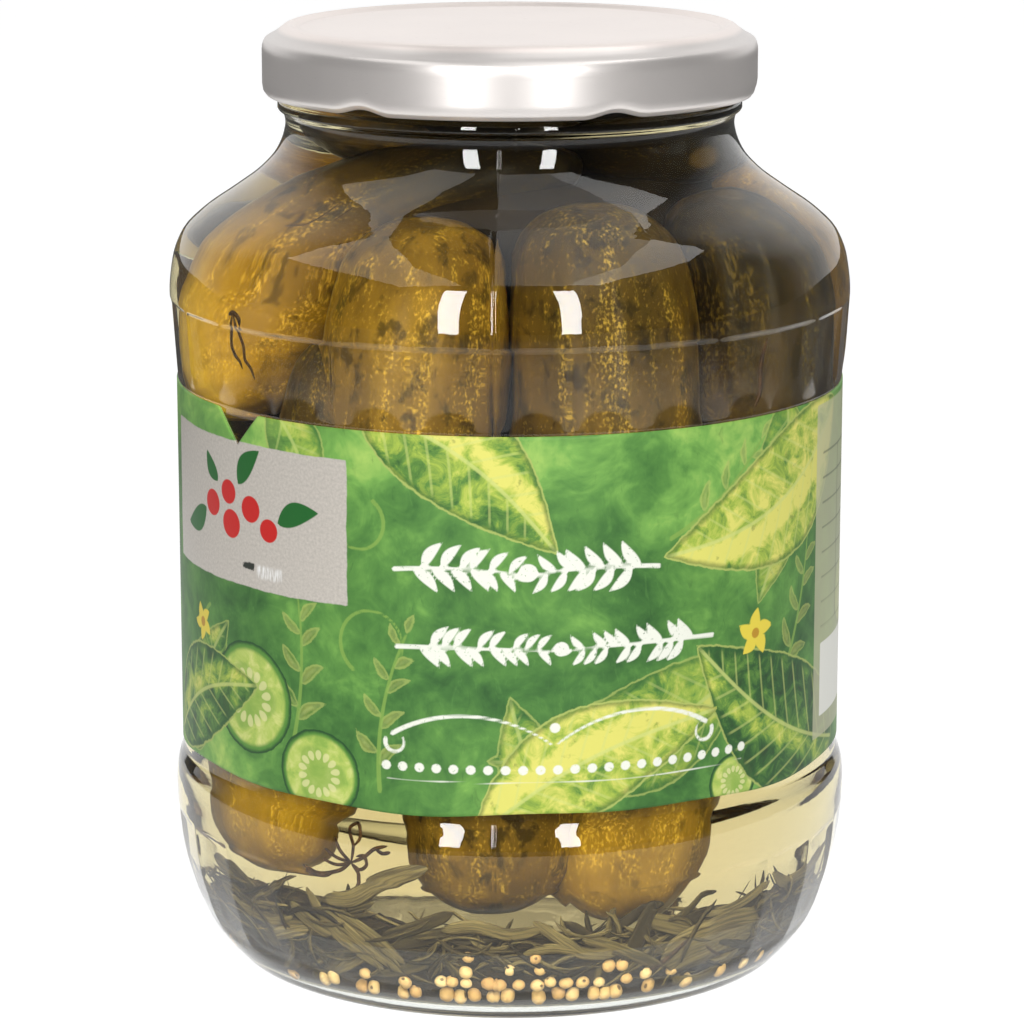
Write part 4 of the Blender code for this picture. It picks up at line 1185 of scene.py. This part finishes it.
def makeSeedLook():
    # a tone of its own for each seed, and a dark scar at one end
    material, tree = newMaterial("mustardSeed")
    up = partsOf(tree, reading(tree, "seedPlace", "Vector"))[2]
    tone = reading(tree, "seedTone")
    colour = ramp(tree, tone, (0.0, (176, 134, 78)), (0.5, (204, 166, 104)), (1.0, (218, 186, 128)))
    colour = overlay(tree, colour, (up, 0.93, 0.98, (60, 40, 20), 0.0, 0.85))
    return finishWet(material, tree, colour, 0.45)


seedGrid, seedLayers = makeSeeds()
dress(joinSurfaces("mustardSeeds", seedGrid, makeSeedLook(), layers=seedLayers), "dill_and_seeds", "dill_bed")


# Camera, floor and light: a white room, two lamps by the camera and three soft panels above

studio = {
    "cameraPlace": (0, -0.7091, 0.2350),
    "cameraDown": 12.51,
    "lens": 143.55,
    "shiftX": 0.0021,
    "floorHalf": 6.0,
    "whiteFloorRadius": 0.42, "whiteFloorFades": 0.04,
    "ambient": 0.22,
    "lamps": {"azimuths": (-19.5, 19.5), "elevation": 19.0, "distance": 1.0, "around": (0, 0, 0.09),
              "size": (0.12, 0.66), "brightness": 20.0},
    "panelHeight": 1.1,
    "panels": {  # middle x and y, size in x and y, brightness
        "panelRight": (0.53, -0.28, 0.26, 1.35, 2.3),
        "panelMiddle": (0.17, -0.32, 0.46, 1.36, 1.1),
        "panelLeft": (-0.62, -0.3, 0.56, 1.4, 1.3)},
    "cycles": {
        "use_denoising": True, "max_bounces": 16, "transmission_bounces": 14, "transparent_max_bounces": 16,
        "diffuse_bounces": 3, "glossy_bounces": 6, "sample_clamp_indirect": 4.0, "blur_glossy": 0.5,
        "adaptive_threshold": 0.03},
}


def makeCamera():
    data = bpy.data.cameras.new("camera")
    data.lens, data.sensor_width, data.shift_x = studio["lens"], 36.0, studio["shiftX"]
    camera = bpy.data.objects.new("camera", data)
    camera.location = studio["cameraPlace"]
    camera.rotation_euler = (math.radians(90 - studio["cameraDown"]), 0, 0)
    scene.collection.objects.link(camera)
    scene.camera = camera


def makeFloor():
    # white to the camera and through the glass. Mirrored, it is white near the jar and dark further off
    mesh = bpy.data.meshes.new("floor")
    half = studio["floorHalf"]
    corners = [(-half, -half, 0), (half, -half, 0), (half, half, 0), (-half, half, 0)]
    mesh.from_pydata(corners, [], [(0, 1, 2, 3)])
    material, tree = newMaterial("paleFloor")
    path = addNode(tree, "ShaderNodeLightPath").outputs
    away = lengthOf(tree, addNode(tree, "ShaderNodeTexCoord").outputs["Object"])
    low, high = (studio["whiteFloorRadius"] + side * studio["whiteFloorFades"] for side in (-1, 1))
    near = spread(tree, away, low, high, 1.0, 0.06)
    mirrored = calc(tree, "SUBTRACT", path["Is Glossy Ray"], path["Is Transmission Ray"], clamp=True)
    strength = addNode(tree, "ShaderNodeMix", {0: mirrored, 2: 0.97, 3: near}).outputs[0]
    glow = addNode(tree, "ShaderNodeEmission", {"Color": (1, 1, 1, 1), "Strength": strength})
    pale = addNode(tree, "ShaderNodeBsdfDiffuse", {"Color": (0.12, 0.12, 0.12, 1)})
    both = addNode(tree, "ShaderNodeAddShader", {0: glow.outputs[0], 1: pale.outputs[0]})
    addNode(tree, "ShaderNodeOutputMaterial", {"Surface": both.outputs[0]})
    material.cycles.emission_sampling = "NONE"
    mesh.materials.append(material)
    floor = bpy.data.objects.new("floor", mesh)
    scene.collection.objects.link(floor)


def addPanel(name, location, rotation, size, brightness):
    # brightness is the panel's radiance: power over pi times area
    data = bpy.data.lights.new(name, "AREA")
    data.shape, data.size, data.size_y = "RECTANGLE", size[0], size[1]
    data.energy = brightness * math.pi * size[0] * size[1]
    panel = bpy.data.objects.new(name, data)
    panel.visible_transmission = False  # its light already comes through the glass as shadow rays
    panel.location, panel.rotation_euler = location, rotation
    scene.collection.objects.link(panel)


def makeLights():
    # two upright lamps at eye height and three level panels over the jar
    lamps = studio["lamps"]
    climb = math.radians(lamps["elevation"])
    for azimuth in lamps["azimuths"]:
        level = ringPoint(lamps["distance"] * math.cos(climb), azimuth, 0.0)
        location = level + lamps["around"] + (0, 0, lamps["distance"] * math.sin(climb))
        rotation = (math.pi / 2 - climb, 0, math.radians(azimuth))
        addPanel(f"lamp{azimuth:+.0f}", location, rotation, lamps["size"], lamps["brightness"])
    for name, (x, y, wide, deep, brightness) in studio["panels"].items():
        addPanel(name, (x, y, studio["panelHeight"]), (0, 0, 0), (wide, deep), brightness)


def makeWorld():
    # white to the camera and to rays that leave through the glass, and greys by heading for mirrored rays
    world = bpy.data.worlds.new("studio")
    world.use_nodes = True
    tree = world.node_tree
    tree.nodes.clear()
    path = addNode(tree, "ShaderNodeLightPath").outputs
    _, back, up = partsOf(tree, addNode(tree, "ShaderNodeTexCoord").outputs["Generated"])
    throughGlass = spread(tree, back, -0.3, 0.0, 0.35, 1.0)
    throughGlass = calc(tree, "MULTIPLY", path["Is Transmission Ray"], throughGlass)
    seen = calc(tree, "MAXIMUM", path["Is Camera Ray"], throughGlass)
    behind, above = spread(tree, back, 0.25, 0.8, 0.05, 1.0), spread(tree, up, 0.25, 0.9, 0.0, 0.12)
    mirrored = calc(tree, "MAXIMUM", behind, above)
    inputs = {0: path["Is Glossy Ray"], 2: studio["ambient"], 3: mirrored}
    level = calc(tree, "MAXIMUM", addNode(tree, "ShaderNodeMix", inputs).outputs[0], seen)
    background = addNode(tree, "ShaderNodeBackground", {"Color": (1, 1, 1, 1), "Strength": level})
    addNode(tree, "ShaderNodeOutputWorld", {"Surface": background.outputs[0]})
    world.cycles.sampling_method = "NONE"
    scene.world = world


makeCamera()
makeFloor()
makeWorld()
makeLights()

scene.view_settings.view_transform = "Standard"
for key, value in studio["cycles"].items():
    setattr(scene.cycles, key, value)
print("jar: studio ready")
